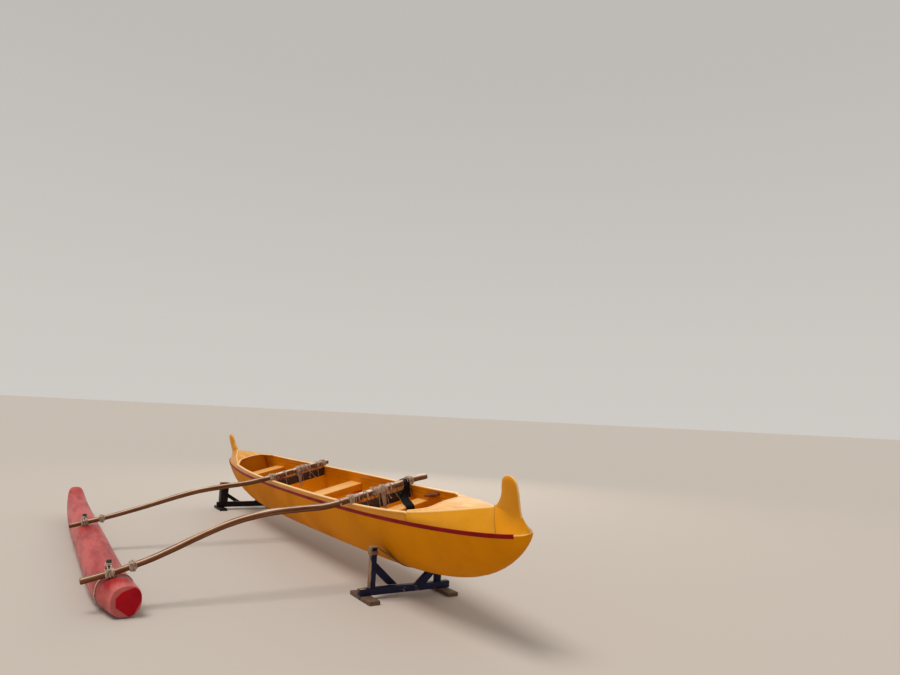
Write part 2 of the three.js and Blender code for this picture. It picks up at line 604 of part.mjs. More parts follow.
// A trestle: a base beam on two feet, two posts on it, and a brace from each post to the beam
function addTrestle(trestle, material, footMaterial) {
  const { name, x, y, halfLength, postInner, postY, postX, beamHeight, beamX, postTop } = trestle;
  const beamTop = FOOT_HEIGHT + GAP + beamHeight;
  place(boat, `trestle_${name}_beam`, box(x - beamX / 2, x + beamX / 2, y - halfLength, y + halfLength,
    FOOT_HEIGHT + GAP, beamTop), material);
  for (const [side, sign] of [['port', 1], ['starboard', -1]]) {
    const across = (reachA, reachB) => [y + sign * reachA, y + sign * reachB].sort((a, b) => a - b);
    const [footA, footB] = across(halfLength - FOOT_INSET - FOOT_WIDTH, halfLength - FOOT_INSET);
    place(boat, `trestle_${name}_foot_${side}`, box(x - FOOT_LENGTH / 2, x + FOOT_LENGTH / 2, footA, footB,
      0, FOOT_HEIGHT), footMaterial);
    const [postA, postB] = across(postInner, postInner + postY);
    place(boat, `trestle_${name}_post_${side}`, box(x - postX / 2, x + postX / 2, postA, postB,
      beamTop + GAP, postTop), material);
    const { braceTop, braceFoot, braceDepth } = trestle;
    const brace = new THREE.Shape();
    const high = postInner - GAP;
    const low = beamTop + GAP;
    const run = (high - braceFoot) / (braceTop - low);
    brace.moveTo(high, braceTop);
    brace.lineTo(braceFoot, low);
    brace.lineTo(braceFoot + braceDepth * Math.hypot(1, run), low);
    brace.lineTo(high, braceTop - (braceDepth * Math.hypot(1, run)) / run);
    const timber = new THREE.ExtrudeGeometry(brace, { depth: beamX, bevelEnabled: false })
      .rotateX(Math.PI / 2).rotateZ(sign * Math.PI / 2).translate(x + (sign * beamX) / 2, y, 0);
    place(boat, `trestle_${name}_brace_${side}`, timber, material);
  }
}

// A wooden block on the inside of the starboard wall, ahead of the stern deck
function addCleat() {
  const face = CLEAT_DEPTH + STRAKE_THICKNESS - strakeY(CLEAT_X);
  const block = box(-CLEAT_LENGTH / 2, CLEAT_LENGTH / 2, -WIDE, face, -CLEAT_HEIGHT / 2, CLEAT_HEIGHT / 2)
    .rotateY(CLEAT_TILT).translate(CLEAT_X, 0, CLEAT_Z);
  const trimmed = toSolid(block).intersect(toSolid(cavityVolume(GAP)));
  place(canoe, 'cleat', toGeometry(trimmed), COLOURS.darkWood);
}

// A strap looped over the aft crossbeam, its folded tail lying over the aft seat
function addStrap() {
  const loop = beamSleeve(CROSSBEAMS[0], STRAP_Y, STRAP_WIDTH, STRAP_THICKNESS);
  const points = STRAP_TAIL.map(([x, y, z]) => new THREE.Vector3(x, y, z));
  const rings = points.map((p, i) => {
    const next = points[Math.min(i + 1, points.length - 1)];
    const ahead = next.clone().sub(points[Math.max(i - 1, 0)]).normalize();
    const aside = new THREE.Vector3(STRAP_TAIL[i][3], 1, 0);
    aside.addScaledVector(ahead, -aside.dot(ahead)).setLength(STRAP_WIDTH / 2);
    const out = ahead.cross(aside).setLength(STRAP_FOLD / 2);
    return [[1, 1], [1, -1], [-1, -1], [-1, 1]].map(([a, b]) => p.clone().addScaledVector(aside, a)
      .addScaledVector(out, b));
  });
  place(canoe, 'strap', toGeometry(loop.add(toSolid(loft(rings)))), COLOURS.strap);
}

addShell();
addStrakes();
addStripes();
addGunwales();
addDecks();
addBulkheads();
addManus();
addSeats();
addCrossbeams();
addFloat();
addFloatLashings();
const [aftTrestle, fwdTrestle] = TRESTLES;
addTrestle(aftTrestle, COLOURS.blue, COLOURS.plank);
addTrestle(fwdTrestle, COLOURS.black, COLOURS.black);
TRESTLES.forEach(addSling);
addCleat();
addStrap();

// The origin is the middle of the bounding box, on the ground
const bounds = new THREE.Box3().setFromObject(boat, true);
const middle = bounds.getCenter(new THREE.Vector3());
boat.position.set(-middle.x, -middle.y, -bounds.min.z);

export default boat;
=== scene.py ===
import math

import bmesh
import bpy
from mathutils import Matrix, Vector


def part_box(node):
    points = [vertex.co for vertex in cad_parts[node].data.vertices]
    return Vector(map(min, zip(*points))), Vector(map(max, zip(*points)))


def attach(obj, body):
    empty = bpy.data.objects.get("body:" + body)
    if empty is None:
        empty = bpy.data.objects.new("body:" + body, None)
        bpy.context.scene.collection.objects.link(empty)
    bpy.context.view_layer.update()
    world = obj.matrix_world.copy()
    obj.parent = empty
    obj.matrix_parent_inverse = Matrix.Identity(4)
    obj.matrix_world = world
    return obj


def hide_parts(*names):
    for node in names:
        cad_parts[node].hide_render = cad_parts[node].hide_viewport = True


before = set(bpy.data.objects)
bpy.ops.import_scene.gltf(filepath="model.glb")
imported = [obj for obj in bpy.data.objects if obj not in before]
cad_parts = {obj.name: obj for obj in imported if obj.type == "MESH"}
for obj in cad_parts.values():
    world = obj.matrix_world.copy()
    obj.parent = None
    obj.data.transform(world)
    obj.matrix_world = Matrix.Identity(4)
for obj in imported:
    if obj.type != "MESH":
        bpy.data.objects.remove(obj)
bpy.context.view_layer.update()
print("frame loaded")

# Two working spaces in millimetres: the yard's, level with the ground, and the canoe's, keel down
pose = {"roll": 0.266, "pitch": 0.015, "keelLift": 168.6, "trestleAt": (-1687, 86)}
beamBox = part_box("trestle_aft_beam")
shift = (beamBox[0] + beamBox[1]) / 2 - Vector(pose["trestleAt"]).to_3d() / 1000
shift.z = 0
millimetres = Matrix.Scale(0.001, 4)
yardToPart = Matrix.Translation(shift) @ millimetres
canoeToYard = (Matrix.Translation((0, 0, pose["keelLift"]))
               @ Matrix.Rotation(pose["pitch"], 4, "Y") @ Matrix.Rotation(-pose["roll"], 4, "X"))
canoeToPart = yardToPart @ canoeToYard
forward, upward = Vector((1, 0, 0)), Vector((0, 0, 1))


# Camera, solved from the photograph
cameraSet = {"at": (-6187.9, 2582.4, 1344), "heading": -0.553, "tilt": 0.111, "lean": 0.05,
             "lens": 27.036, "sensor": 36, "clip": (0.05, 200)}


def makeCamera():
    heading, tilt, lean = cameraSet["heading"], cameraSet["tilt"], cameraSet["lean"]
    ahead = Vector((math.cos(heading) * math.cos(tilt), math.sin(heading) * math.cos(tilt),
                    math.sin(tilt)))
    level = Vector((math.sin(heading), -math.cos(heading), 0))
    upright = level.cross(ahead)
    right = level * math.cos(lean) + upright * math.sin(lean)
    up = upright * math.cos(lean) - level * math.sin(lean)
    data = bpy.data.cameras.new("photoCamera")
    data.lens, data.sensor_width = cameraSet["lens"], cameraSet["sensor"]
    data.clip_start, data.clip_end = cameraSet["clip"]
    camera = bpy.data.objects.new("photoCamera", data)
    turned = Matrix((right, up, -ahead)).transposed().to_4x4()
    camera.matrix_world = Matrix.Translation(yardToPart @ Vector(cameraSet["at"])) @ turned
    bpy.context.scene.collection.objects.link(camera)
    bpy.context.scene.camera = camera


makeCamera()
print("camera set")


# Shader maths: a socket that can be added, subtracted and multiplied
class Sock:
    def __init__(self, shader, out):
        self.shader, self.out = shader, out

    def maths(self, kind, a, b):
        return self.shader.node("ShaderNodeMath", {"operation": kind}, [a, b])

    def __add__(self, other):
        return self.maths("ADD", self, other)

    def __radd__(self, other):
        return self.maths("ADD", other, self)

    def __sub__(self, other):
        return self.maths("SUBTRACT", self, other)

    def __rsub__(self, other):
        return self.maths("SUBTRACT", other, self)

    def __mul__(self, other):
        return self.maths("MULTIPLY", self, other)

    def __rmul__(self, other):
        return self.maths("MULTIPLY", other, self)


def fillRamp(node, stops):
    elements = node.color_ramp.elements
    while len(elements) < len(stops):
        elements.new(0.5)
    for stop, (at, colour) in zip(elements, stops):
        stop.position, stop.color = at, (*colour, 1)


class Shader:
    def __init__(self, name):
        self.material = bpy.data.materials.new(name)
        self.material.use_nodes = True
        self.tree = self.material.node_tree
        self.main = self.tree.nodes["Principled BSDF"]

    def node(self, kind, settings=None, inputs=(), out=0):
        made = self.tree.nodes.new(kind)
        for key, value in (settings or {}).items():
            if key == "stops":
                fillRamp(made, value)
            else:
                setattr(made, key, value)
        pairs = inputs.items() if isinstance(inputs, dict) else enumerate(inputs)
        for key, value in pairs:
            self.feed(made.inputs[key], value)
        return Sock(self, made.outputs[out])

    def feed(self, socket, value):
        if isinstance(value, Sock):
            self.tree.links.new(value.out, socket)
        else:
            socket.default_value = (*value, 1) if socket.type == "RGBA" else value

    def where(self, scale=(1, 1, 1), turn=(0, 0, 0), source="Object"):
        base = self.node("ShaderNodeTexCoord", out=source)
        return self.node("ShaderNodeMapping", {},
                         {"Vector": base, "Scale": scale, "Rotation": turn})

    def attribute(self, name):
        return self.node("ShaderNodeAttribute", {"attribute_name": name}, out="Fac")

    def noise(self, at, scale, detail=3, rough=0.55, warp=0):
        return self.node("ShaderNodeTexNoise", {}, {"Vector": at, "Scale": scale, "Detail": detail,
                                                    "Roughness": rough, "Distortion": warp})

    def bands(self, at, direction, scale, warp, detail):
        return self.node("ShaderNodeTexWave", {"wave_type": "BANDS", "bands_direction": direction},
                         {"Vector": at, "Scale": scale, "Distortion": warp, "Detail": detail})

    def ramp(self, value, stops):
        return self.node("ShaderNodeValToRGB", {"stops": stops}, [value])

    def mask(self, value, low, high):   # 0 below low, 1 above high
        return self.node("ShaderNodeMapRange", {"interpolation_type": "SMOOTHSTEP"},
                         [value, low, high, 0, 1])

    def mix(self, factor, a, b):   # sockets 6 and 7 of this node are its two colours
        return self.node("ShaderNodeMix", {"data_type": "RGBA"}, {0: factor, 6: a, 7: b}, out=2)

    def bump(self, height, strength, distance):
        return self.node("ShaderNodeBump", {},
                         {"Height": height, "Strength": strength, "Distance": distance})

    def finish(self, **values):
        for key, value in values.items():
            self.feed(self.main.inputs[key.replace("_", " ")], value)
        return self.material


def shade(colour, share):
    return tuple(c * share for c in colour)


# Finishes. What every gelcoat has, unless its own line below says otherwise
gelcoatLook = {"spread": (1, 1, 1), "patch": 1.6, "scuff": 0.30, "chalk": 0.08, "rough": 0.30,
               "coat": 0.05, "shine": 0.14, "wave": 9, "bump": 0.12}


def gelcoat(name, light, dark, pale, worn, streak=None, **own):
    look = {**gelcoatLook, **own}
    s = Shader(name)
    spread = s.where(look["spread"])
    broad = s.noise(spread, look["patch"], detail=4, rough=0.6, warp=0.3)
    fine = s.noise(spread, 60, detail=5, rough=0.65)
    scuffs = s.noise(s.where((2.5, 80, 80)), 2.2, rough=0.6, warp=0.4)
    colour = s.mix(s.mask(broad, 0.35, 0.68), light, dark)
    if streak:   # bleached and stained in long streaks where it faces up; the pale streaks are partly a painted reflection of the sky
        bleachedAndSheen, stained = streak
        top = s.attribute("top")
        streaks = s.noise(s.where((0.7, 15, 15)), 2.6, detail=4, rough=0.6, warp=0.5)
        colour = s.mix(top * s.mask(streaks, 0.50, 0.62) * 0.6, colour, bleachedAndSheen)
        colour = s.mix(top * s.mask(streaks * -1, -0.49, -0.38) * 0.65, colour, stained)
    colour = s.mix(s.mask(scuffs, 0.62, 0.78) * look["scuff"], colour, pale)
    colour = s.mix(s.mask(fine, 0.6, 0.85) * look["chalk"], colour, pale)
    # the worn colour goes where the wear attribute says: wear on the seats, wear and a painted
    # highlight on rails, ridges and fin edges, a painted highlight on the deck rims, the ledge at
    # the hull's joint and the float's aft end
    colour = s.mix(s.attribute("wear") * (0.35 + fine * 0.7), colour, worn)
    colour = s.mix(s.attribute("grime") * 0.45, colour, shade(dark, 0.3))
    height = s.noise(s.where(), look["wave"], detail=1) + fine * 0.012
    rough = look["rough"] + s.mask(broad, 0.4, 0.7) * 0.06 + s.mask(scuffs, 0.55, 0.8) * 0.12
    return s.finish(Base_Color=colour, Roughness=rough,
                    Normal=s.bump(height, look["bump"], 0.002), Coat_Weight=look["coat"],
                    Coat_Roughness=0.12, Specular_IOR_Level=look["shine"])


def varnishedWood(name, dark, mid, light, pale, bleach, rough, coat):
    s = Shader(name)
    grain = s.noise(s.where((26, 1.1, 26)), 3.2, detail=6, rough=0.62, warp=0.35)
    pores = s.noise(s.where((260, 5, 260)), 3, rough=0.6)
    patch = s.noise(s.where(), 3.4)
    colour = s.ramp(grain, [(0.3, dark), (0.5, mid), (0.72, light)])
    colour = s.mix(s.mask(pores, 0.56, 0.74) * 0.45, colour, dark)
    colour = s.mix(s.mask(patch, 0.5, 0.75) * bleach, colour, pale)
    return s.finish(Base_Color=colour, Roughness=rough + grain * 0.15, Coat_Weight=coat,
                    Coat_Roughness=0.25, Normal=s.bump(pores * 0.5 + grain * 0.4, 0.3, 0.0015))


def laminatedBeam(name, dark, mid, light, pale, chalk, rough):
    s = Shader(name)

    def run(*scale):   # u runs along the beam, v round it
        return s.where((*scale, 1), source="UV")
    layer, worn, edge = [s.attribute(kind) for kind in ("layer", "wear", "edge")]
    grain = s.noise(run(1.0, 34), 3, detail=6, rough=0.62, warp=0.3)
    pores = s.noise(run(7, 300), 3, rough=0.6)
    patch = s.noise(run(3.2, 9), 2, detail=4, rough=0.6)
    streaks = s.noise(run(0.9, 26), 3, detail=4, rough=0.6, warp=0.4)
    strips = s.node("ShaderNodeMath", {"operation": "SINE"}, [layer * 7.0 + patch * 1.2])
    # pale streaks on the top face: bleaching and a painted highlight
    bleachedAndSheen = s.mask(layer, 0.80, 0.95) * s.mask(streaks, 0.46, 0.62) * 0.7
    # chalky dust on the upper half over the hull, partly a painted highlight
    dustAndSheen = worn * s.mask(layer, 0.1, 0.85) * s.mask(patch, 0.36, 0.58) * 0.8
    # the underside darker: painted shade
    shadedUnderside = s.mask(layer * -1, 0.45, 0.9) * 0.6
    colour = s.ramp(grain, [(0.32, dark), (0.5, mid), (0.70, light)])
    colour = s.mix(s.mask(strips, 0.1, 0.5) * 0.4, colour, dark)
    colour = s.mix(s.mask(pores, 0.54, 0.74) * 0.5, colour, dark)
    colour = s.mix(bleachedAndSheen, colour, pale)
    # pale along the upper aft corner: a painted highlight
    colour = s.mix(edge * (0.55 + s.mask(patch, 0.35, 0.6) * 0.45), colour, pale)
    colour = s.mix(shadedUnderside, colour, dark)
    colour = s.mix(dustAndSheen, colour, chalk)
    return s.finish(Base_Color=colour, Roughness=rough + grain * 0.15, Specular_IOR_Level=0.12,
                    Normal=s.bump(pores * 0.5 + grain * 0.4, 0.35, 0.0015))


def paintedTimber(name, paint, wood, bareFrom):
    s = Shader(name)
    chips = s.noise(s.where(), 34, detail=5, rough=0.7)
    broad = s.noise(s.where(), 6)
    grain = s.noise(s.where((20, 3, 20)), 3, detail=4, rough=0.6)
    rubbed = chips * 0.6 + broad * 0.5 + s.attribute("wear") * 0.2
    bare = s.mask(rubbed, bareFrom, bareFrom + 0.05)
    timber = s.mix(s.mask(grain, 0.4, 0.65), wood, shade(wood, 0.55))
    colour = s.mix(s.mask(broad, 0.35, 0.7), paint, shade(paint, 1.7))
    return s.finish(Base_Color=s.mix(bare, colour, timber), Roughness=0.55 + bare * 0.3,
                    Normal=s.bump(grain * 0.5 + (1 - bare) * 0.4, 0.4, 0.0015),
                    Specular_IOR_Level=0.2)


def cordage(name, pale, dirtAndShade, lay=0.6):   # the strands lie aslant, by the angle lay
    s = Shader(name)
    strands = s.bands(s.where(turn=(0, 0, lay), source="UV"), "X", 2.4, warp=0.6, detail=1)
    colour = s.mix(s.mask(s.noise(s.where(), 30, detail=4, rough=0.6), 0.4, 0.72), pale, dirtAndShade)
    # the grooves between the strands are painted dark: painted shade
    colour = s.mix(s.mask(strands, 0.0, 0.35) * -0.55 + 0.55, colour, shade(dirtAndShade, 0.45))
    return s.finish(Base_Color=colour, Roughness=0.85, Normal=s.bump(strands, 0.6, 0.0012))


def webbing(name, light, dark):
    s = Shader(name)
    weave = s.bands(s.where(), "Y", 90, warp=0.4, detail=2)
    colour = s.mix(s.mask(s.noise(s.where(), 22, detail=4), 0.35, 0.7), light, dark)
    colour = s.mix(weave * 0.35, colour, shade(dark, 0.5))
    return s.finish(Base_Color=colour, Roughness=0.88, Normal=s.bump(weave, 0.5, 0.001),
                    Specular_IOR_Level=0.15)


finishes = {
    "yellow": gelcoat("goldenGelcoat", light=(0.76, 0.300, 0.003), dark=(0.66, 0.240, 0.002),
                      pale=(0.90, 0.47, 0.08), worn=(0.98, 0.68, 0.33)),
    # the deck's top has long pale streaks, partly bleaching and partly a painted reflection of the
    # sky
    "deck": gelcoat("bleachedAndSheenGelcoat", light=(0.72, 0.300, 0.008), dark=(0.62, 0.250, 0.004),
                    pale=(0.86, 0.50, 0.12), worn=(0.98, 0.70, 0.36),
                    streak=((0.86, 0.52, 0.13), (0.56, 0.235, 0.014))),
    # the hull below the stripe: a darker, more orange copy of the golden gelcoat, its darkness
    # partly painted shade where the hull turns under
    "hull": gelcoat("satinGelcoatShaded", light=(0.76, 0.268, 0.001), dark=(0.62, 0.205, 0.001),
                    pale=(0.80, 0.34, 0.02), worn=(0.86, 0.50, 0.18), patch=1.3, scuff=0.25,
                    chalk=0.10, rough=0.5, coat=0, shine=0.02),
    "crimson": gelcoat("crimsonBand", light=(0.27, 0.006, 0.009), dark=(0.20, 0.004, 0.006),
                       pale=(0.40, 0.05, 0.05), worn=(0.5, 0.1, 0.08), patch=9, chalk=0.15,
                       rough=0.4, coat=0, shine=0.05),
    # its pale chalk spots are partly chalking and partly painted glints
    "pink": gelcoat("fadedCoral", light=(0.50, 0.050, 0.046), dark=(0.30, 0.014, 0.018),
                    pale=(0.90, 0.42, 0.38), worn=(0.80, 0.30, 0.28), spread=(0.30, 1.3, 1.3),
                    patch=9, scuff=0.10, chalk=0.75, rough=0.34, shine=0.16, wave=30, bump=0.10),
    "red": gelcoat("brightCrimson", light=(0.46, 0.001, 0.010), dark=(0.34, 0.001, 0.007),
                   pale=(0.7, 0.06, 0.06), worn=(0.78, 0.16, 0.16), patch=12, scuff=0.25,
                   chalk=0.10, rough=0.34, shine=0.10),
    "beam": laminatedBeam("laminatedBeam", dark=(0.07, 0.022, 0.008), mid=(0.20, 0.072, 0.027),
                          light=(0.33, 0.14, 0.058), pale=(0.88, 0.64, 0.45),
                          chalk=(0.86, 0.70, 0.56), rough=0.42),
    "darkWood": varnishedWood("oiledDarkWood", dark=(0.012, 0.007, 0.004),
                              mid=(0.034, 0.018, 0.011), light=(0.07, 0.036, 0.022),
                              pale=(0.12, 0.07, 0.04), bleach=0.3, rough=0.5, coat=0.1),
    "redWood": varnishedWood("redBrownBlock", dark=(0.10, 0.02, 0.008), mid=(0.20, 0.05, 0.02),
                             light=(0.30, 0.09, 0.04), pale=(0.36, 0.14, 0.07), bleach=0.3,
                             rough=0.45, coat=0.1),
    "plank": varnishedWood("weatheredPlank", dark=(0.05, 0.026, 0.014), mid=(0.11, 0.062, 0.036),
                           light=(0.21, 0.125, 0.078), pale=(0.32, 0.22, 0.15), bleach=0.6,
                           rough=0.72, coat=0),
    "blue": paintedTimber("bluePaint", (0.008, 0.009, 0.034), (0.36, 0.22, 0.14), bareFrom=0.66),
    "black": paintedTimber("blackPaint", (0.005, 0.003, 0.003), (0.12, 0.08, 0.05), bareFrom=0.72),
    "rope": cordage("paleCord", (0.66, 0.52, 0.41), (0.30, 0.19, 0.12)),
    "oldCord": cordage("soiledCord", (0.36, 0.24, 0.16), (0.13, 0.07, 0.04)),
    "webbing": webbing("tanWebbing", (0.36, 0.22, 0.12), (0.20, 0.12, 0.07)),
    "strap": webbing("blackWebbing", (0.010, 0.009, 0.012), (0.005, 0.005, 0.007)),
}
print("finishes made")


# Mesh helpers
def addPiece(name, bm, finish, nodes=(), space=canoeToPart, tidy=True, edge=None):
    if tidy:
        bmesh.ops.remove_doubles(bm, verts=bm.verts, dist=0.02)
        bmesh.ops.recalc_face_normals(bm, faces=bm.faces)
    bmesh.ops.transform(bm, matrix=space, verts=bm.verts)
    for face in bm.faces:
        face.smooth = True
    if edge:   # what turns by more than this angle stays sharp
        for line in bm.edges:
            if line.is_manifold and line.calc_face_angle(0) > edge:
                line.smooth = False
    mesh = bpy.data.meshes.new(name)
    bm.to_mesh(mesh)
    bm.free()
    piece = bpy.data.objects.new(name, mesh)
    bpy.context.scene.collection.objects.link(piece)
    mesh.materials.append(finishes[finish])
    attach(piece, "root")
    if nodes:
        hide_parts(*nodes)
    return piece


def setWear(piece, amount, name="wear", space=canoeToPart):   # amount at each point of that space
    inverse = space.inverted()
    layer = piece.data.attributes.new(name, "FLOAT", "POINT")
    layer.data.foreach_set("value", [amount(inverse @ vert.co) for vert in piece.data.vertices])


def addWall(piece, thickness, share=None):   # thickness in metres, less where share says so
    wall = piece.modifiers.new("wall", "SOLIDIFY")
    wall.thickness, wall.offset = thickness, -1
    if share:
        group = piece.vertex_groups.new(name="wall")
        inverse = canoeToPart.inverted()
        for vert in piece.data.vertices:
            group.add([vert.index], min(max(share(inverse @ vert.co), 0.1), 1), "REPLACE")
        wall.vertex_group = "wall"


def newMesh():
    bm = bmesh.new()
    return bm, bm.loops.layers.uv.new("UVMap")


# A grid whose points place(u, v) puts in shape, with u and v as its texture coordinates
def sheetOf(place, across, around, stretch=(1, 1)):
    bm, layer = newMesh()
    bmesh.ops.create_grid(bm, x_segments=across, y_segments=around, size=0.5, calc_uvs=True)
    for vert in bm.verts:
        vert.co = place(vert.co.x + 0.5, vert.co.y + 0.5)
    for face in bm.faces:
        for loop in face.loops:
            u, v = loop[layer].uv
            loop[layer].uv = (u * stretch[0], v * stretch[1])
    return bm


def pointTowards(bm, way):   # turns the whole sheet over if it faces the other way
    for face in bm.faces:
        face.normal_update()
    if sum(face.normal.dot(way) for face in bm.faces) < 0:
        bmesh.ops.reverse_faces(bm, faces=bm.faces)


def closeEnds(bm):
    bmesh.ops.remove_doubles(bm, verts=bm.verts, dist=0.02)
    bmesh.ops.holes_fill(bm, edges=bm.edges, sides=0)


def merge(parts):
    whole, _ = newMesh()
    for part in parts:
        mesh = bpy.data.meshes.new("part")
        part.to_mesh(mesh)
        part.free()
        whole.from_mesh(mesh)
        bpy.data.meshes.remove(mesh)
    return whole


def softenEdges(bm, edges, offset, segments=2):
    bmesh.ops.bevel(bm, geom=edges, offset=offset, segments=segments, affect="EDGES",
                    profile=0.5, material=-1)


def boardOf(low, high, bevel=3, segments=2):
    bm, _ = newMesh()
    bmesh.ops.create_cube(bm, size=1, calc_uvs=True)
    size, middle = Vector(high) - Vector(low), (Vector(high) + Vector(low)) / 2
    bmesh.ops.scale(bm, vec=size, verts=bm.verts)
    bmesh.ops.translate(bm, vec=middle, verts=bm.verts)
    softenEdges(bm, bm.edges[:], bevel, segments)
    return bm


def lerp(a, b, t):
    return a + (b - a) * t


def clamp(x, low=0, high=1):
    return min(max(x, low), high)


def smoothStep(x, low, high):
    t = clamp((x - low) / (high - low))
    return t * t * (3 - 2 * t)


def follow(table, at):   # reads a table of (place, value) rows
    for (x0, y0), (x1, y1) in zip(table, table[1:]):
        if at <= x1:
            return lerp(y0, y1, clamp((at - x0) / (x1 - x0)))
    return table[-1][1]


def boxRound(turn, power):   # a circle that nears a square as its power nears 0
    c, s = math.cos(turn), math.sin(turn)
    return math.copysign(abs(c) ** power, c), math.copysign(abs(s) ** power, s)


def fullTurn(steps):   # the angles of once round, with both ends
    return [2 * math.pi * i / steps for i in range(steps + 1)]


# Lines of points, and what is drawn along them
def smoothPath(points, count):   # a Catmull-Rom line through the points, in count steps
    pts = [Vector(p) for p in points]
    pts = [pts[0] * 2 - pts[1], *pts, pts[-1] * 2 - pts[-2]]
    out = []
    for i in range(count + 1):
        at = i / count * (len(pts) - 3)
        k = min(int(at), len(pts) - 4)
        t = at - k
        a, b, c, d = pts[k:k + 4]
        out.append(0.5 * (2 * b + (c - a) * t + (2 * a - 5 * b + 4 * c - d) * t * t
                          + (3 * b - a - 3 * c + d) * t ** 3))
    return out


def evenPath(points, step):   # the same line with its points a step apart
    lengths = [0]
    for a, b in zip(points, points[1:]):
        lengths.append(lengths[-1] + (b - a).length)
    count = max(2, round(lengths[-1] / step))
    out, k = [], 0
    for i in range(count + 1):
        at = lengths[-1] * i / count
        while k < len(points) - 2 and lengths[k + 1] < at:
            k += 1
        span = max(lengths[k + 1] - lengths[k], 1e-9)
        out.append(points[k].lerp(points[k + 1], (at - lengths[k]) / span))
    return out


def eased(points, step=6, rounds=2):   # the line with its corners rounded
    path = evenPath(points, step)
    for _ in range(rounds):
        between = zip(path, path[1:], path[2:])
        path = [path[0], *[(a + b * 2 + c) / 4 for a, b, c in between], path[-1]]
    return path


def headingAt(path, k):
    return (path[min(k + 1, len(path) - 1)] - path[max(k - 1, 0)]).normalized()


def lengthOf(path):
    return sum((b - a).length for a, b in zip(path, path[1:]))


def ropeOf(path, radius, sides=8):   # a round cord, its texture running along it
    frames = []
    side = headingAt(path, 0).orthogonal().normalized()
    for i, p in enumerate(path):
        ahead = headingAt(path, i)
        side = (side - ahead * side.dot(ahead)).normalized()
        frames.append((p, side, ahead.cross(side)))
    last = len(path) - 1

    def place(u, v):
        p, a, b = frames[round(u * last)]
        turn = 2 * math.pi * v
        return p + (a * math.cos(turn) + b * math.sin(turn)) * radius
    bm = sheetOf(place, last, sides, (lengthOf(path) / (radius * 6), 1))
    closeEnds(bm)
    return bm


def bandOf(path, wide, thick, aside):   # flat webbing: aside(t) gives the direction of its width
    last = len(path) - 1
    section = [(-0.5, 0.32), (-0.47, 0.5), (0.47, 0.5), (0.5, 0.32), (0.5, -0.32), (0.47, -0.5),
               (-0.47, -0.5), (-0.5, -0.32)]

    def place(u, v):
        k = round(u * last)
        ahead = headingAt(path, k)
        side = aside(k / last)
        side = (side - ahead * side.dot(ahead)).normalized()
        a, b = section[round(v * len(section)) % len(section)]
        return path[k] + side * a * wide + ahead.cross(side) * b * thick
    bm = sheetOf(place, last, len(section), (lengthOf(path) / 100, (wide + thick) / 50))
    closeEnds(bm)
    bmesh.ops.recalc_face_normals(bm, faces=bm.faces)
    return bm


def ropePiece(name, paths, radius, nodes=(), space=canoeToPart, finish="rope"):
    parts = [ropeOf(path, radius) for path in paths]
    for part in parts:
        bmesh.ops.recalc_face_normals(part, faces=part.faces)
    return addPiece(name, merge(parts), finish, nodes, space=space, tidy=False)


# Hull lines. "plan", "sheer", "stemCurve" and "section" are powers of its curves, and "blunt" is
# how far from the stem it starts to close. Its wall, in metres, is thinner where half the beam is
# less than the sum of "thinFrom"
hull = {"halfLength": 3175, "halfBeam": 296, "stem": 8, "blunt": 14, "plan": (2.32, 0.54),
        "stripe": 464.5, "stemHeight": 496, "sheer": (3.3, 4.55), "strake": (53, 202),
        "rocker": 18, "stemCurve": (6, 0.83), "section": 1.03, "ledge": 4, "wall": 0.011,
        "thinFrom": (14, 70), "steps": (200, 64)}


def along(x):
    return min(abs(x) / hull["halfLength"], 1)


def halfBeam(x):
    power, root = hull["plan"]
    return hull["stem"] + (hull["halfBeam"] - hull["stem"]) * max(0, 1 - along(x) ** power) ** root


def stripeZ(x):
    return lerp(hull["stripe"], hull["stemHeight"], along(x) ** hull["sheer"][0])


def sheerZ(x):
    low, high = hull["strake"]
    return stripeZ(x) + lerp(low, high, along(x) ** hull["sheer"][1])


def keelZ(x):
    power, root = hull["stemCurve"]
    rocker = hull["rocker"] * along(x) ** 2
    rise = 1 - max(0, 1 - along(x) ** power) ** root
    return rocker + (hull["stemHeight"] - hull["stem"] - rocker) * rise


def strakeY(x):
    return halfBeam(x) - hull["ledge"]


def nose(x):   # how much of its width the hull keeps in the last millimetres before the stem
    into = max(0, (abs(x) - hull["halfLength"] + hull["blunt"]) / hull["blunt"])
    return math.sqrt(max(0, 1 - into ** 2))


def shellPoint(x, turn, out=0):   # round the shell's section, from port under the keel
    c, s = boxRound(turn, hull["section"])
    depth = stripeZ(x) - keelZ(x) + out
    return Vector((x, (halfBeam(x) * nose(x) + out) * c, stripeZ(x) - depth * s))


def makeHull():
    def place(u, v):
        return shellPoint(hull["halfLength"] * math.sin(math.pi * (u - 0.5)), math.pi * v)
    bm = sheetOf(place, *hull["steps"], (6.3, 1.3))
    bmesh.ops.remove_doubles(bm, verts=bm.verts, dist=0.01)
    pointTowards(bm, -upward)
    piece = addPiece("hull", bm, "hull", ["hull_shell"], tidy=False)
    bare, full = hull["thinFrom"]
    addWall(piece, hull["wall"], lambda p: (halfBeam(p.x) - bare) / full)


# The painted band over the joint: (out from the hull's widest line, drop below the joint)
stripe = {"from": {"port": -3104, "starboard": -3040}, "to": 3128, "steps": 300, "square": 4,
          "profile": [(-5, -10.5), (0.2, -10.5), (1.2, -10), (1.7, -8.5), (1.8, -3), (1.8, 2),
                      (1.8, 7), (1.7, 12.5), (1.2, 15), (-0.6, 16)]}


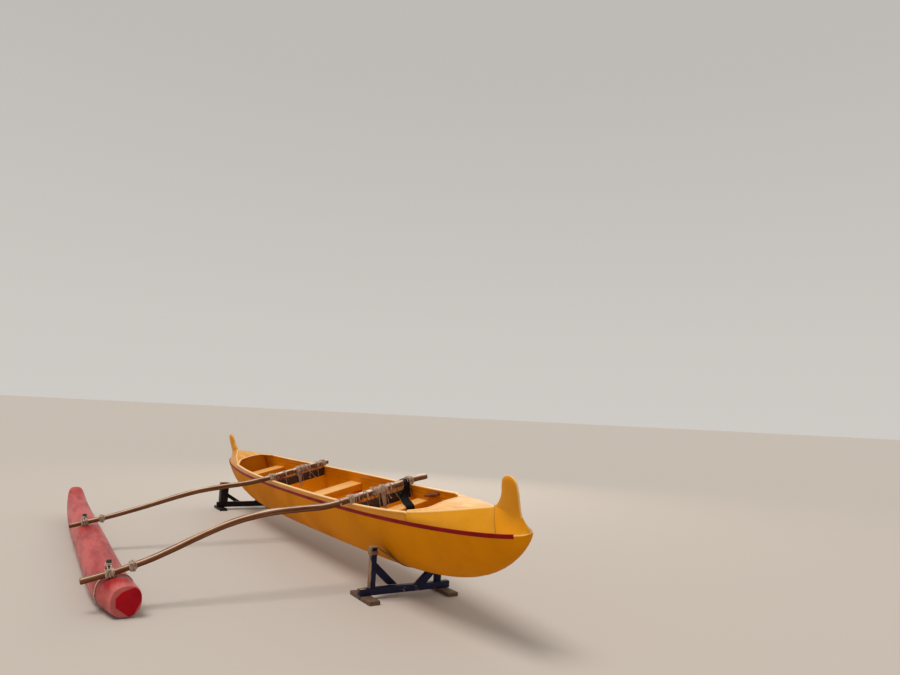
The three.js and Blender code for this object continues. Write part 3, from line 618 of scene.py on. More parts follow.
def makeStripes():
    profile, steps = stripe["profile"], stripe["steps"]
    for side, sign in (("port", 1), ("starboard", -1)):
        def place(u, v):
            column = round(u * steps)
            x = lerp(stripe["from"][side], stripe["to"], clamp((column - 1) / (steps - 2)))
            proud, drop = profile[round(v * (len(profile) - 1))]
            proud -= stripe["square"] * (column in (0, steps))   # its ends are cut square
            share = min(max(drop, 0) / (stripeZ(x) - keelZ(x)), 0.95)
            turn = math.asin(share ** (1 / hull["section"]))
            y = halfBeam(x) * math.cos(turn) ** hull["section"] + proud
            return Vector((x, sign * y, stripeZ(x) - drop))
        bm = sheetOf(place, steps, len(profile) - 1, (6, 0.1))
        bmesh.ops.recalc_face_normals(bm, faces=bm.faces)
        pointTowards(bm, Vector((0, sign, 0)))
        addPiece("stripe_" + side, bm, "crimson", ["stripe_" + side], tidy=False)


# Topsides between the decks: an upright board with a rounded rail along its upper edge, as
# (out from the strake, rise, 1 where the rise counts from the sheer)
topside = {"to": 2136, "steps": 120, "worn": (-7, -2),
           "profile": [(0, 0.4, 0), (1.2, 12, 0), (1.8, -20, 1), (2.2, -14, 1), (4.4, -12, 1),
                       (5.2, -8, 1), (4.8, -3, 1), (1.5, 0, 1), (-6, 1, 1), (-14, 0.6, 1),
                       (-18.5, -2, 1), (-19.5, -7, 1), (-18, -12, 1), (-12, -14.5, 1),
                       (-10.5, -19, 1), (-10, 12, 0), (-10, 0.4, 0)]}


def makeTopsides():
    profile = topside["profile"]
    for side, sign in (("port", 1), ("starboard", -1)):
        def place(u, v):
            x = lerp(-topside["to"], topside["to"], u)
            out, rise, fromTop = profile[round(v * len(profile)) % len(profile)]
            base = sheerZ(x) if fromTop else stripeZ(x)
            return Vector((x, sign * (strakeY(x) + out), base + rise))
        bm = sheetOf(place, topside["steps"], len(profile), (4.2, 0.2))
        closeEnds(bm)
        piece = addPiece("topside_" + side, bm, "yellow", ["strake_" + side, "gunwale_" + side])
        # the rail's top is pale: wear, and a painted highlight where it catches the light
        setWear(piece, lambda p: smoothStep(p.z - sheerZ(p.x), *topside["worn"]))
        subdivided = piece.modifiers.new("round", "SUBSURF")
        subdivided.levels = subdivided.render_levels = 1


# Decks: two ridges run together at the fin. "side" and "corner" are shares of the way round.
# "seam" is how far beyond "fin" the joint with the casting lies, on the hull and on the ridge
decks = {"steps": (70, 100), "edge": 2130, "sweep": (165, 9), "fin": 2860, "seam": (127, 30),
         "side": 0.2, "corner": 0.06, "round": 15, "bulge": 6, "crown": (14, 190), "ease": 1.6,
         "arch": 0.35, "bulgeFade": (-2850, -2600), "flush": (2950, 3110, 0.8), "gap": 0.4,
         "joint": 1.2, "wall": 0.007, "thinFrom": 90, "worn": (4, 13), "grime": (1.5, 7),
         "rim": {"wide": 9, "high": 7, "inside": 0.99, "drop": 3, "steps": 140, "around": 14},
         "ridgeY": [(2130, 214), (2190, 201), (2250, 187), (2310, 172), (2370, 157), (2430, 141),
                    (2490, 125), (2550, 108.5), (2610, 91), (2670, 72.5), (2730, 53), (2790, 33),
                    (2860, 9), (2990, 12)],
         "ridgeZ": [(2130, 550.5), (2310, 565), (2490, 582), (2670, 600.5), (2790, 613),
                    (2860, 619), (2890, 627)]}


def jointY(x):   # half the width of an end where it sits on the hull
    start, full, inset = decks["flush"]
    return lerp(strakeY(x), halfBeam(x) - inset, smoothStep(abs(x), start, full)) * nose(x)


def ridgeAt(x):
    return Vector((follow(decks["ridgeY"], abs(x)), follow(decks["ridgeZ"], abs(x))))


def topShare(v):   # 0 at a deck's ridge, 1 at its middle line
    start = decks["side"] + decks["corner"]
    return clamp((0.5 - abs(v - 0.5) - start) / (0.5 - start))


def endPoint(x, v):   # round a deck's section, from the port joint over the ridges to starboard
    sign, v = (1, v) if v <= 0.5 else (-1, 1 - v)
    side, corner = decks["side"], decks["corner"]
    joint, ridge = Vector((jointY(x), stripeZ(x) + decks["gap"])), ridgeAt(x)
    crown, fullFrom = decks["crown"]
    middle = Vector((0, ridge.y + crown * smoothStep(ridge.x, 0, fullFrom)))
    reach = min(decks["round"], ridge.x * 0.8)
    below = ridge + (joint - ridge).normalized() * reach
    inside = ridge + (middle - ridge).normalized() * reach
    if v < side:
        t = v / side
        bulge = decks["bulge"] * smoothStep(-abs(x), *decks["bulgeFade"])
        p = joint.lerp(below, t) + Vector((1, 0.4)) * bulge * math.sin(math.pi * t) ** 1.3
    elif v < side + corner:
        t = (v - side) / corner
        p = below.lerp(ridge, t).lerp(ridge.lerp(inside, t), t)
    else:
        p = inside.lerp(middle, topShare(v) ** decks["ease"])
        out = p.x / max(inside.x, 1)
        p.y += (middle.y - ridge.y) * decks["arch"] * (1 - out) * out
    return Vector((x, sign * p.x, p.y))


def deckEdge(v):   # where the deck starts, swept back between its two ridges
    depth, curve = decks["sweep"]
    return decks["edge"] + depth * (1 - (1 - topShare(v) ** decks["ease"]) ** curve)


def seamAt(height):   # where it meets the casting: height is 0 on the hull, 1 on the ridge
    return decks["fin"] + lerp(*decks["seam"], height)


def ridgeWearAndHighlight(p):   # the gelcoat is pale along the ridges: wear, and a painted highlight where they catch the light
    return 1 - smoothStep((Vector((abs(p.y), p.z)) - ridgeAt(p.x)).length, *decks["worn"])


def topArea(p):   # 1 on the flat between the ridges
    ridge = ridgeAt(p.x)
    return smoothStep(ridge.x - abs(p.y), 4, 20) * smoothStep(p.z - ridge.y, -10, -4)


def seamGrime(p):   # the dark line in the joint of deck and casting
    height = (p.z - stripeZ(p.x)) / (ridgeAt(p.x).y - stripeZ(p.x))
    away = abs(abs(p.x) - seamAt(clamp(height)))
    return (1 - smoothStep(away, *decks["grime"])) * (1 - smoothStep(height, 0.9, 1.02))


def makeDeck(name, sign):
    def place(u, v):
        seam = seamAt(min(1, min(v, 1 - v) / decks["side"]))
        return endPoint(sign * lerp(deckEdge(v), seam - decks["joint"], u), v)
    bm = sheetOf(place, *decks["steps"], (0.8, 0.6))
    bmesh.ops.remove_doubles(bm, verts=bm.verts, dist=0.01)
    bmesh.ops.recalc_face_normals(bm, faces=bm.faces)
    pointTowards(bm, upward)
    piece = addPiece(name, bm, "deck", [name], tidy=False)
    addWall(piece, decks["wall"], lambda p: ridgeAt(p.x).x / decks["thinFrom"])
    setWear(piece, ridgeWearAndHighlight)
    setWear(piece, topArea, "top")
    setWear(piece, seamGrime, "grime")


def makeDeckRim(name, sign):   # a rolled rim along the deck's cockpit edge
    rim, side = decks["rim"], decks["side"]
    line = []
    for i in range(rim["steps"] + 1):
        v = side + (1 - 2 * side) * i / rim["steps"]
        p = endPoint(sign * deckEdge(v), v)
        line.append(Vector((p.x, p.y * rim["inside"], p.z - rim["drop"])))

    def place(u, v):
        k = round(u * rim["steps"])
        aside = headingAt(line, k).cross(upward).normalized()
        turn = 2 * math.pi * v
        return (line[k] + aside * rim["wide"] * math.cos(turn)
                + Vector((0, 0, rim["high"] * math.sin(turn))))
    bm = sheetOf(place, rim["steps"], rim["around"], (0.5, 0.05))
    closeEnds(bm)
    # the whole rim is pale: a painted highlight along the lip
    setWear(addPiece(name, bm, "yellow"), lambda p: 1)


# End castings, each with its upright fin. The tables give, by height, the distance of the fin's
# front and back from the stem and half its thickness. "neck" gives, by that distance, the height
# above which the fin stands free. "start" keeps the first column and row for the hidden edges
casting = {"steps": (50, 74), "start": (0.04, 0.013), "foot": 491, "knee": (0.5, 640), "top": 826,
           "shutFrom": 812, "flare": (1.0, 2.3), "flareOver": (-240, -90), "round": 2.4,
           "widen": {"bow": 1.6, "stern": 1}, "worn": (2, 8), "jointHighlight": (2, 7),
           "jointBelow": 585, "frontPaleFrom": (640, 670),
           "lip": {"share": 0.035, "below": 627, "reach": 9, "thinner": 1.6},
           "takeOver": {"share": 0.3, "from": 624, "to": 637},
           "neck": [(0, 497), (1.5, 500.5), (8, 520.5), (20, 541), (33, 562), (44, 590), (70, 602),
                    (150, 612), (240, 620), (285, 627), (315, 619)],
           "front": [(491, 188), (627, 285), (632, 272), (655, 244), (690, 213), (722, 196),
                     (765, 183), (790, 171), (806, 156), (818, 136), (824, 117), (826, 103)],
           "back": [(491, 0), (500, 1.5), (520, 8), (540, 20), (560, 33), (588, 44), (625, 45),
                    (680, 38), (722, 32), (765, 32), (790, 38), (806, 50), (818, 68), (824, 86),
                    (826, 99)],
           "thick": [(480, 17), (620, 17), (655, 17), (700, 16), (765, 15), (800, 13.5),
                     (814, 10), (823, 5)]}


def finWearAndHighlight(p):   # pale along the hull's joint, a painted highlight on the ledge, and round the fin's edge, wear and a painted highlight
    a = hull["halfLength"] - abs(p.x)
    if p.z < casting["jointBelow"]:
        return 1 - smoothStep(p.z - stripeZ(p.x), *casting["jointHighlight"])
    plainFront = 20 * (1 - smoothStep(p.z, *casting["frontPaleFrom"]))
    away = min(abs(a - follow(casting["front"], p.z)) + plainFront,
               abs(a - follow(casting["back"], p.z)), casting["top"] - p.z)
    return (1 - smoothStep(away, *casting["worn"])) * (0.3 if p.x > 0 else 1)   # less at the bow


def makeCasting(end, sign):
    share, knee = casting["knee"]
    firstColumn, firstRow = casting["start"]
    top, shutFrom = casting["top"], casting["shutFrom"]
    lip, takeOver = casting["lip"], casting["takeOver"]
    halves = []
    for side in (1, -1):
        def place(u, v):
            row = max(0, (v - firstRow) / (1 - firstRow))
            above = (row - share) / (1 - share)
            if row < share:
                z = lerp(casting["foot"], knee, row / share)
            else:
                z = knee + (top - knee) * math.sin(math.pi / 2 * above) ** 0.8
            s = 0.5 - 0.5 * math.cos(math.pi * max(0, (u - firstColumn) / (1 - firstColumn)))
            front, back = follow(casting["front"], z), follow(casting["back"], z)
            a = (front + back) / 2 + (front - back) * (0.5 - s)
            x = hull["halfLength"] - a
            shut = math.sqrt(max(0, 1 - max(0, (z - shutFrom) / (top - shutFrom)) ** 2))
            if row < share:
                z = lerp(stripeZ(x) + decks["gap"], knee, row / share)
            edge = max(0, 1 - abs(2 * s - 1) ** casting["round"]) ** 0.5
            y = follow(casting["thick"], z) * casting["widen"][end] * edge * shut
            t = (z - stripeZ(x)) / (follow(casting["neck"], a) - stripeZ(x))
            if t < 1:
                flare = lerp(*casting["flare"], smoothStep(-a, *casting["flareOver"]))
                y += (jointY(x) - y) * (1 - max(t, 0)) ** flare
            if z < takeOver["to"]:   # the deck's section, at the joint between them
                rise = clamp((z - stripeZ(x)) / (follow(decks["ridgeZ"], x) - stripeZ(x)))
                flat = lerp(jointY(x), follow(decks["ridgeY"], x), rise)
                y = lerp(y, flat, (1 - smoothStep(s, 0, takeOver["share"]))
                         * (1 - smoothStep(z, takeOver["from"], takeOver["to"])))
            if u < lip["share"] and z < lip["below"]:   # a lip that slides under the deck
                x, y = x - lip["reach"], max(0, y - lip["thinner"]) * (u > 0.01)
            if v < 0.012 or u > 0.99:   # the two halves meet
                y = 0
            return Vector((sign * x, side * y, z))
        halves.append(sheetOf(place, *casting["steps"], (0.3, 0.4)))
    bm = merge(halves)
    bmesh.ops.remove_doubles(bm, verts=bm.verts, dist=0.05)
    bmesh.ops.dissolve_degenerate(bm, edges=bm.edges, dist=0.02)
    piece = addPiece(end + "_manu", bm, "yellow", [end + "_manu"], edge=0.8)
    setWear(piece, finWearAndHighlight)
    setWear(piece, seamGrime, "grime")


makeHull()
makeStripes()
makeTopsides()
for endName, endSign in (("bow", 1), ("stern", -1)):
    makeDeck(endName + "_deck", endSign)
    makeDeckRim(endName + "_deck_rim", endSign)
    makeCasting(endName, endSign)
print("hull made")


# Crossbeams: their line is (across the canoe, rise above the level over the hull)
beams = {"width": 60, "height": 44, "tipWidth": 50, "tipHeight": 36, "taper": (900, 1950),
         "corner": 0.36, "endEase": 0.12, "wrap": 6, "gap": 1.2, "step": 12, "around": 32,
         "dustAndSheenSpan": (240, 420), "upperEdge": (0.68, 0.9), "aftEdge": (0.55, 0.85),
         "aft": {"x": -1326,
                 "line": [(-415, -8), (-330, -1.5), (-290, 0), (-200, 0), (60, 0), (342, 0),
                          (362, 0), (490, 9), (665, 45), (860, 82), (1050, 98), (1222, 93),
                          (1393, 71.5), (1559, 45), (1717, 25.6), (1888, 19.2), (1985, 21.1),
                          (2110, 27.1)]},
         "fwd": {"x": 601,
                 "line": [(-330, 0), (-100, 0), (120, 0), (342, 0), (362, 0), (540, 11), (764, 40),
                          (993, 63.8), (1219, 64.8), (1446, 57.3), (1650, 54.6), (1790, 56.4),
                          (1907, 61.7), (2070, 69.6)]}}


def beamLevel(x):
    return sheerZ(x) + beams["gap"] + beams["wrap"] + beams["height"] / 2


def beamPath(name):
    beam = beams[name]
    level = beamLevel(beam["x"])
    points = [(beam["x"], y, level + rise) for y, rise in beam["line"]]
    return evenPath(smoothPath(points, 300), beams["step"])


def beamSize(y):
    t = smoothStep(y, *beams["taper"])
    return lerp(beams["width"], beams["tipWidth"], t), lerp(beams["height"], beams["tipHeight"], t)


def upFrom(ahead):   # square to the beam, in the plane it bends in
    return Vector((0, -ahead.z, ahead.y))


def beamAt(path, y):   # its middle over a point across the canoe, and its upward direction there
    k = min(range(len(path) - 1), key=lambda i: abs(path[i].y - y))
    t = (y - path[k].y) / max(path[k + 1].y - path[k].y, 1e-6)
    return path[k].lerp(path[k + 1], t), upFrom(headingAt(path, k))


def makeBeam(name):
    path = beamPath(name)
    last = len(path) - 1

    def place(u, v):
        k = round(u * last)
        width, height = beamSize(path[k].y)
        ease = 1 - beams["endEase"] * (k in (0, last))
        c, s = boxRound(2 * math.pi * v, beams["corner"])
        up = upFrom(headingAt(path, k))
        return path[k] + (forward * c * width / 2 + up * s * height / 2) * ease
    bm = sheetOf(place, last, beams["around"], (last * beams["step"] / 1000, 0.2))
    closeEnds(bm)
    layer, worn, edge = [bm.verts.layers.float.new(kind) for kind in ("layer", "wear", "edge")]
    for vert in bm.verts:   # height in the laminations, dust and painted highlight over the hull, highlighted upper aft corner
        p, up = beamAt(path, vert.co.y)
        width, height = beamSize(p.y)
        vert[layer] = (vert.co - p).dot(up) / (height / 2)
        vert[worn] = 1 - 0.85 * smoothStep(vert.co.y, *beams["dustAndSheenSpan"])
        aft = (p.x - vert.co.x) / (width / 2)
        vert[edge] = (smoothStep(vert[layer], *beams["upperEdge"])
                      * smoothStep(aft, *beams["aftEdge"]))
    addPiece("crossbeam_" + name, bm, "beam", ["crossbeam_" + name])
    return path


# Boards between the hull's sides, under the beams
spreader = {"half": 13, "low": 420, "high": 498, "clear": 11, "bevel": 4, "turnIn": 0.035}


def makeSpreader(name):
    x, low, high = beams[name]["x"], spreader["low"], spreader["high"]
    wall, half = strakeY(x) - spreader["clear"], spreader["half"]
    bm = boardOf((x - half, -wall, low), (x + half, wall, high), spreader["bevel"])
    for vert in bm.verts:   # the lower corners follow the hull's turn
        drop = (high - vert.co.z) / (high - low)
        vert.co.y *= 1 - spreader["turnIn"] * drop ** 2
    addPiece("spreader_" + name, bm, "darkWood", ["spreader_" + name], edge=0.6)


# Lashings. Coils are (from, to, turns, cord's height over the wood, sway, start), bundles
# (y, turns, width, how much longer, height over the wood), knots (their place, size, tilt),
# uprights (y, height of the foot) and slanting legs (y, y of the foot, drop). "aside" is how far
# a hanging cord is from the beam's axis, and "inside" how far a crossing is from the strake
lashings = {"cord": 3.1, "turnSteps": 28, "coilCorner": 0.42, "inside": 8, "over": 3.2,
            "gunwale": [(-21, 21, 7, 3.1, 0.8, 0), (13, -15, 3, 8.4, 1.5, 0.9)],
            "inboard": [(-66, -18, 2, 3.1, 2, 1.3), (-58, -12, 1, 5.4, 2, 3.3)],
            "bundles": [(0, 6, 40, 0, 3.1), (-3, 3, 30, 5, 8.6)], "bundleSteps": 32,
            "middle": [(-32, 30, 5, 3.1, 1.5, 0.8)], "knot": (-40, -4, -14, 13, 1.2),
            "frapping": {"turns": 4, "x": 36, "y": 22, "from": 10, "pitch": 6.4, "sway": 3},
            "ends": [(-9, 372), (-1, 384), (8, 366)],
            "upright": [(-6, 6, 2, 3.6, 0, 2.2)], "leg": [(-8, 8, 3, 3.6, 1, 0.9)], "aside": 34,
            "net": {"cord": 1.8, "points": 14, "from": 226, "step": 34, "aside": 32.6, "low": 480,
                    "board": 16, "coil": [(-222, 218, 5, 2.0, 6, 0.4)]},
            "aft": {"uprights": [(135, 352), (35, 372), (-40, 378), (-247, 428)],
                    "legs": [(-74, -142, 104), (-34, -60, 60)], "hank": (40, 84)},
            "fwd": {"uprights": [(139, 362), (-36, 392), (-206, 430)],
                    "legs": [(-92, -160, 96), (-120, -104, 84)], "hank": (-90, -22)}}


def coilRound(path, y0, y1, turns, radius, sway=0.0, start=0):   # cord wound round a beam
    points = []
    steps = lashings["turnSteps"] * turns
    for i in range(steps + 1):
        t = i / steps
        y = lerp(y0, y1, t) + sway * math.sin(t * 37 + start)
        p, up = beamAt(path, y)
        width, height = beamSize(y)
        c, s = boxRound(2 * math.pi * turns * t + start, lashings["coilCorner"])
        points.append(p + forward * c * (width / 2 + radius) + up * s * (height / 2 + radius))
    return points


def coils(path, y, rows, sign=1):
    return [coilRound(path, y + sign * a, y + sign * b, *rest) for a, b, *rest in rows]


def bundle(x, y, turns, width, top, low, radius):   # turns round the beam and the board below it
    points = []
    half, steps = beams["width"] / 2 + radius, turns * lashings["bundleSteps"]
    for i in range(steps + 1):
        t = i / steps
        c, s = boxRound(2 * math.pi * turns * t, 0.3)
        narrow = lerp(1, 0.62, smoothStep(-s, -0.2, 1))
        points.append(Vector((x + c * half * lerp(1, 0.6, smoothStep(-s, 0, 1)),
                              y + lerp(-width / 2, width / 2, t) * narrow,
                              (top + low) / 2 + s * (top - low) / 2)))
    return points


def netCord(path, x, side, phase):   # a zigzag between the beam's side and the board's face
    net = lashings["net"]
    points = []
    for i in range(net["points"]):
        y = net["from"] - net["step"] * i + 6 * math.sin(i * 2.3 + phase * 1.9 + side)
        beamZ = beamAt(path, y)[0].z
        if (i + phase) % 2:
            z = net["low"] + 8 * math.sin(i * 1.7 + phase + side)
            points.append(Vector((x + side * net["board"], y, z)))
        else:
            z = beamZ + 2 + 7 * math.sin(i * 1.3 + phase)
            points.append(Vector((x + side * net["aside"], y, z)))
        if i < net["points"] - 1:
            points.append(Vector((x + side * (net["aside"] - 0.8), y - net["step"] / 2,
                                  beamZ - beams["height"] / 2 - 1)))
    return eased(points, 6, 1)


def knotOf(centre, size, tilt=0.0):   # an overhand knot pulled tight
    points = []
    for a in fullTurn(48):
        out = 2 + math.cos(3 * a)
        ring = Vector((out * math.cos(2 * a), out * math.sin(2 * a), math.sin(3 * a)))
        points.append(centre + Matrix.Rotation(tilt, 3, "X") @ ring * size / 3)
    return points


def centreLashing(path, x, level):
    top = level + beams["height"] / 2 + lashings["over"]
    under = spreader["low"] - lashings["over"]
    dx, dy, dz, size, tilt = lashings["knot"]
    paths = [bundle(x, y, turns, width, top + longer, under - longer, radius)
             for y, turns, width, longer, radius in lashings["bundles"]]
    paths += coils(path, 0, lashings["middle"])
    paths.append(knotOf(Vector((x + dx, dy, level + dz)), size, tilt))
    frapping = lashings["frapping"]
    for turn in range(frapping["turns"]):   # these draw the bundle in under the beam
        z = level - beams["height"] / 2 - frapping["from"] - turn * frapping["pitch"]
        paths.append([Vector((x + frapping["x"] * math.cos(a), frapping["y"] * math.sin(a),
                              z + frapping["sway"] * math.sin(a * 2))) for a in fullTurn(28)])
    for k, (dy, foot) in enumerate(lashings["ends"]):   # loose ends below the board
        paths.append(eased([Vector((x - 23, dy, 440)), Vector((x - 24 - k, dy * 1.3, 415)),
                            Vector((x - 25 + 3 * k, dy * 1.6 - 2, foot))], 7))
    return paths


def looseCords(path, name, x):   # over the beam's aft side, then down the board's face
    aside, loose = lashings["aside"], []
    for y, foot in lashings[name]["uprights"]:
        z = beamAt(path, y)[0].z
        loose += coils(path, y, lashings["upright"])
        loose.append(eased([Vector((x - aside, y, z + 6)), Vector((x - aside + 1, y + 1, z - 24)),
                            Vector((x - 18, y + 2, 496)), Vector((x - 16.8, y + 3, 430)),
                            Vector((x - 18, y + 5, foot))]))
    for y, foot, drop in lashings[name]["legs"]:
        z = beamAt(path, y)[0].z
        end = Vector((x - 22, foot, z - 22 - drop))
        loose += coils(path, y, lashings["leg"])
        loose += [eased([Vector((x - aside, y, z + 4)),
                         Vector((x - aside + 1, lerp(y, foot, 0.15), z - 24)), end]),
                  knotOf(end, 9, 0.6)]
    y0, y1 = lashings[name]["hank"]
    over = beamAt(path, (y0 + y1) / 2)[0] + Vector((0, 0, beams["height"] / 2 + 9))
    loose += [coilRound(path, y0, y1, 6, 4.0, 2, 0.3),
              coilRound(path, y1 - 6, y0 + 8, 4, 8.8, 3, 1.1), knotOf(over, 15, 0.3)]
    return loose


def makeLashings(name, path):
    x, cord, net = beams[name]["x"], lashings["cord"], lashings["net"]
    for side, sign in (("port", 1), ("starboard", -1)):
        node = f"lashing_{name}_{side}"
        y = sign * (strakeY(x) - lashings["inside"])
        paths = coils(path, y, lashings["gunwale"]) + coils(path, y, lashings["inboard"], sign)
        ropePiece(node, paths, cord, [node])
    centre = f"lashing_{name}_centre"
    ropePiece(centre, centreLashing(path, x, beamLevel(x)), cord, [centre])
    zigzags = [netCord(path, x, side, phase) for side in (-1, 1) for phase in (0, 1)]
    ropePiece(f"lashing_{name}_net", zigzags + coils(path, 0, net["coil"]), net["cord"],
              finish="oldCord")
    ropePiece(f"lashing_{name}_loose", looseCords(path, name, x), cord)


for beamName in ("aft", "fwd"):
    beamLine = makeBeam(beamName)
    makeLashings(beamName, beamLine)
    makeSpreader(beamName)
print("crossbeams made")


# Float: stations are (x, y, z of the middle, half the width, half the height) in the yard
floatSet = {"stations": [(-1540, 1939, 99, 89, 94), (-1500, 1945, 101, 95, 98),
                         (-1400, 1964, 104, 103, 102), (-1250, 1984, 106, 112, 106),
                         (-1000, 1998, 107, 117, 107), (-600, 2002, 107, 118, 107),
                         (0, 2002, 107, 118, 107), (600, 2002, 107, 118, 107),
                         (1100, 2002, 109, 116, 107), (1500, 2002, 115, 112, 104),
                         (1850, 2002, 131, 106, 97), (2100, 2002, 154, 99, 83),
                         (2300, 2002, 184, 91, 66), (2450, 2002, 217, 83, 49),
                         (2560, 2002, 250, 74, 34), (2630, 2002, 276, 60, 22),
                         (2668, 2002, 292, 38, 13)],
            "section": 0.86, "round": 11, "roundShare": 0.06, "blunt": 14, "evenTo": 0.6,
            "steps": (190, 48), "endHighlight": (0.45, 1420, 1535)}


def floatAt(x):
    rows = floatSet["stations"]
    last = len(rows) - 1
    k = next((i for i in range(last) if rows[i + 1][0] >= x), last - 1)
    span = rows[k + 1][0] - rows[k][0]
    t = (x - rows[k][0]) / span
    before, after = rows[max(k - 1, 0)], rows[min(k + 2, last)]
    out = []
    for i in range(1, len(rows[k])):   # each measure eased from station to station
        a, b = rows[k][i], rows[k + 1][i]
        da = (b - before[i]) / (rows[k + 1][0] - before[0]) * span
        db = (after[i] - a) / (after[0] - rows[k][0]) * span
        out.append(a * (1 + 2 * t) * (1 - t) ** 2 + da * t * (1 - t) ** 2 + b * t * t * (3 - 2 * t)
                   + db * t * t * (t - 1))
    return out


def floatPoint(x, v, grow=0.0, shrink=1.0):
    y, z, wide, high = floatAt(x)
    c, s = boxRound(2 * math.pi * v, floatSet["section"])
    return Vector((x, y + (wide + grow) * shrink * c, z + (high + grow) * shrink * s))


def makeFloat():
    first, last = floatSet["stations"][0][0], floatSet["stations"][-1][0]
    radius, share, blunt = floatSet["round"], floatSet["roundShare"], floatSet["blunt"]

    def place(u, v):
        if u < share:     # round the aft end over into its flat face
            t = u / share
            p = floatPoint(first + radius, v)
            y, z, wide, _ = floatAt(first + radius)
            keep = 1 - radius * (1 - math.sqrt(1 - (1 - t) ** 2)) / wide
            return Vector((lerp(first, first + radius, 1 - math.cos(math.pi / 2 * t)),
                           y + (p.y - y) * keep, z + (p.z - z) * keep))
        t = (u - share) / (1 - share)
        even = floatSet["evenTo"]
        if t >= even:   # closer steps towards the tip
            t = even + (1 - even) * (1 - (1 - (t - even) / (1 - even)) ** 1.5)
        x = lerp(first + radius, last, t)
        tip = max(0, (x - (last - blunt)) / blunt)
        return floatPoint(x, v, 0, math.sqrt(max(0, 1 - tip ** 2)))
    bm = sheetOf(place, *floatSet["steps"], (4.2, 0.7))
    closeEnds(bm)
    body = addPiece("float_body", bm, "pink", ["float_body"], space=yardToPart)
    # the aft end is paler: a painted highlight on its rounding
    endHighlight, low, high = floatSet["endHighlight"]
    setWear(body, lambda p: endHighlight * smoothStep(-p.x, low, high))


# The red end: a rounded shield in half widths of the float's end, wider and higher to starboard
face = {"outline": [(-0.66, 0.27), (-0.28, 0.63), (0.64, 0.94), (1.0, 0.72), (1.04, 0.25),
                    (0.90, -0.15), (0.55, -0.86), (0.38, -0.98), (0.19, -0.89), (-0.6, -0.32)],
        "within": 0.97, "proud": (4.5, 1.5), "edge": 0.6, "rim": 0.94, "steps": (16, 96)}


def faceOutline(turn):
    corners = [Vector(corner) for corner in face["outline"]]
    ray = Vector((math.cos(turn), math.sin(turn)))
    reaches = []
    for a, b in zip(corners, corners[1:] + corners[:1]):
        edge = b - a
        across = ray.x * edge.y - ray.y * edge.x
        if abs(across) > 1e-6:
            reaches.append((a.x * edge.y - a.y * edge.x) / across)
    return ray * min(reach for reach in reaches if reach > 0)


def makeFloatFace():
    first, radius = floatSet["stations"][0][0], floatSet["round"]
    y, z, wide, high = floatAt(first + radius)
    power = 2 / floatSet["section"]

    def place(u, v):
        near = min(u * 1.06, 1)
        p = faceOutline(2 * math.pi * v) * near
        out = (abs(p.x) ** power + abs(p.y) ** power) ** (1 / power)
        if out > face["within"]:
            p, out = p * face["within"] / out, face["within"]
        # it lies on the float's end and follows its rounded edge
        turned = max(0, 1 - (1 - out) * wide / radius)
        back = radius * (1 - math.cos(math.pi / 2 * (1 - math.sqrt(1 - turned ** 2))))
        middle, less = face["proud"]
        proud = middle - less * near ** 2 if u < face["rim"] else face["edge"]
        # seen from astern the port side is on the left
        return Vector((first + back - proud, y - p.x * wide, z + p.y * high))
    bm = sheetOf(place, *face["steps"], (0.2, 0.2))
    closeEnds(bm)
    addPiece("float_face", bm, "red", ["float_face"], space=yardToPart)


# What is fixed to the float: its band, the pegs, and the cords at the two crossings, where the
# coils and the hank are placed along the beam from the peg
fittings = {"band": {"at": -1276, "turns": (-5.5, 0.5, 6.5), "cord": 2.8, "over": 2.6, "low": 3.5},
            "peg": {"radius": 18, "tip": 0.9, "height": 80, "ahead": 105, "aside": 36, "root": 24,
                    "bevel": (3, 3)},
            "coil": [(-28, 28, 8, 3.1), (26, -26, 3, 9.0, 0, 0.7)],
            "hank": [(-158, -112, 6, 3.6, 1.5, 0.4), (-116, -152, 4, 9.2, 3, 1.7),
                     (-146, -126, 2, 14.0, 3, 0.8)],
            "knot": (-134, -30, 14, 17, 0.9), "hankCord": 3.4,
            "loops": {"turns": 3, "down": 22, "pitch": 6, "over": 3}}


def makeFloatBand():
    band = fittings["band"]
    rings = []
    for dx in band["turns"]:
        at = band["at"] + dx
        ring = [floatPoint(at + 0.8 * math.sin(a * 3), a / (2 * math.pi), band["over"])
                for a in fullTurn(72)]
        for p in ring:
            p.z = max(p.z, band["low"])
        rings.append(ring)
    ropePiece("float_band", rings, band["cord"], ["float_band"], space=yardToPart)


def makePeg(name, x, y, top):
    peg = fittings["peg"]
    depth = peg["height"] + peg["root"]
    bm, _ = newMesh()
    bmesh.ops.create_cone(bm, cap_ends=True, segments=24, radius1=peg["radius"],
                          radius2=peg["radius"] * peg["tip"], depth=depth, calc_uvs=True,
                          matrix=Matrix.Translation((x, y, top - depth / 2)))
    upper = [edge for edge in bm.edges if all(vert.co.z > top - 1 for vert in edge.verts)]
    softenEdges(bm, upper, *peg["bevel"])
    addPiece("float_peg_" + name, bm, "darkWood", ["float_peg_" + name], space=yardToPart,
             edge=0.7)


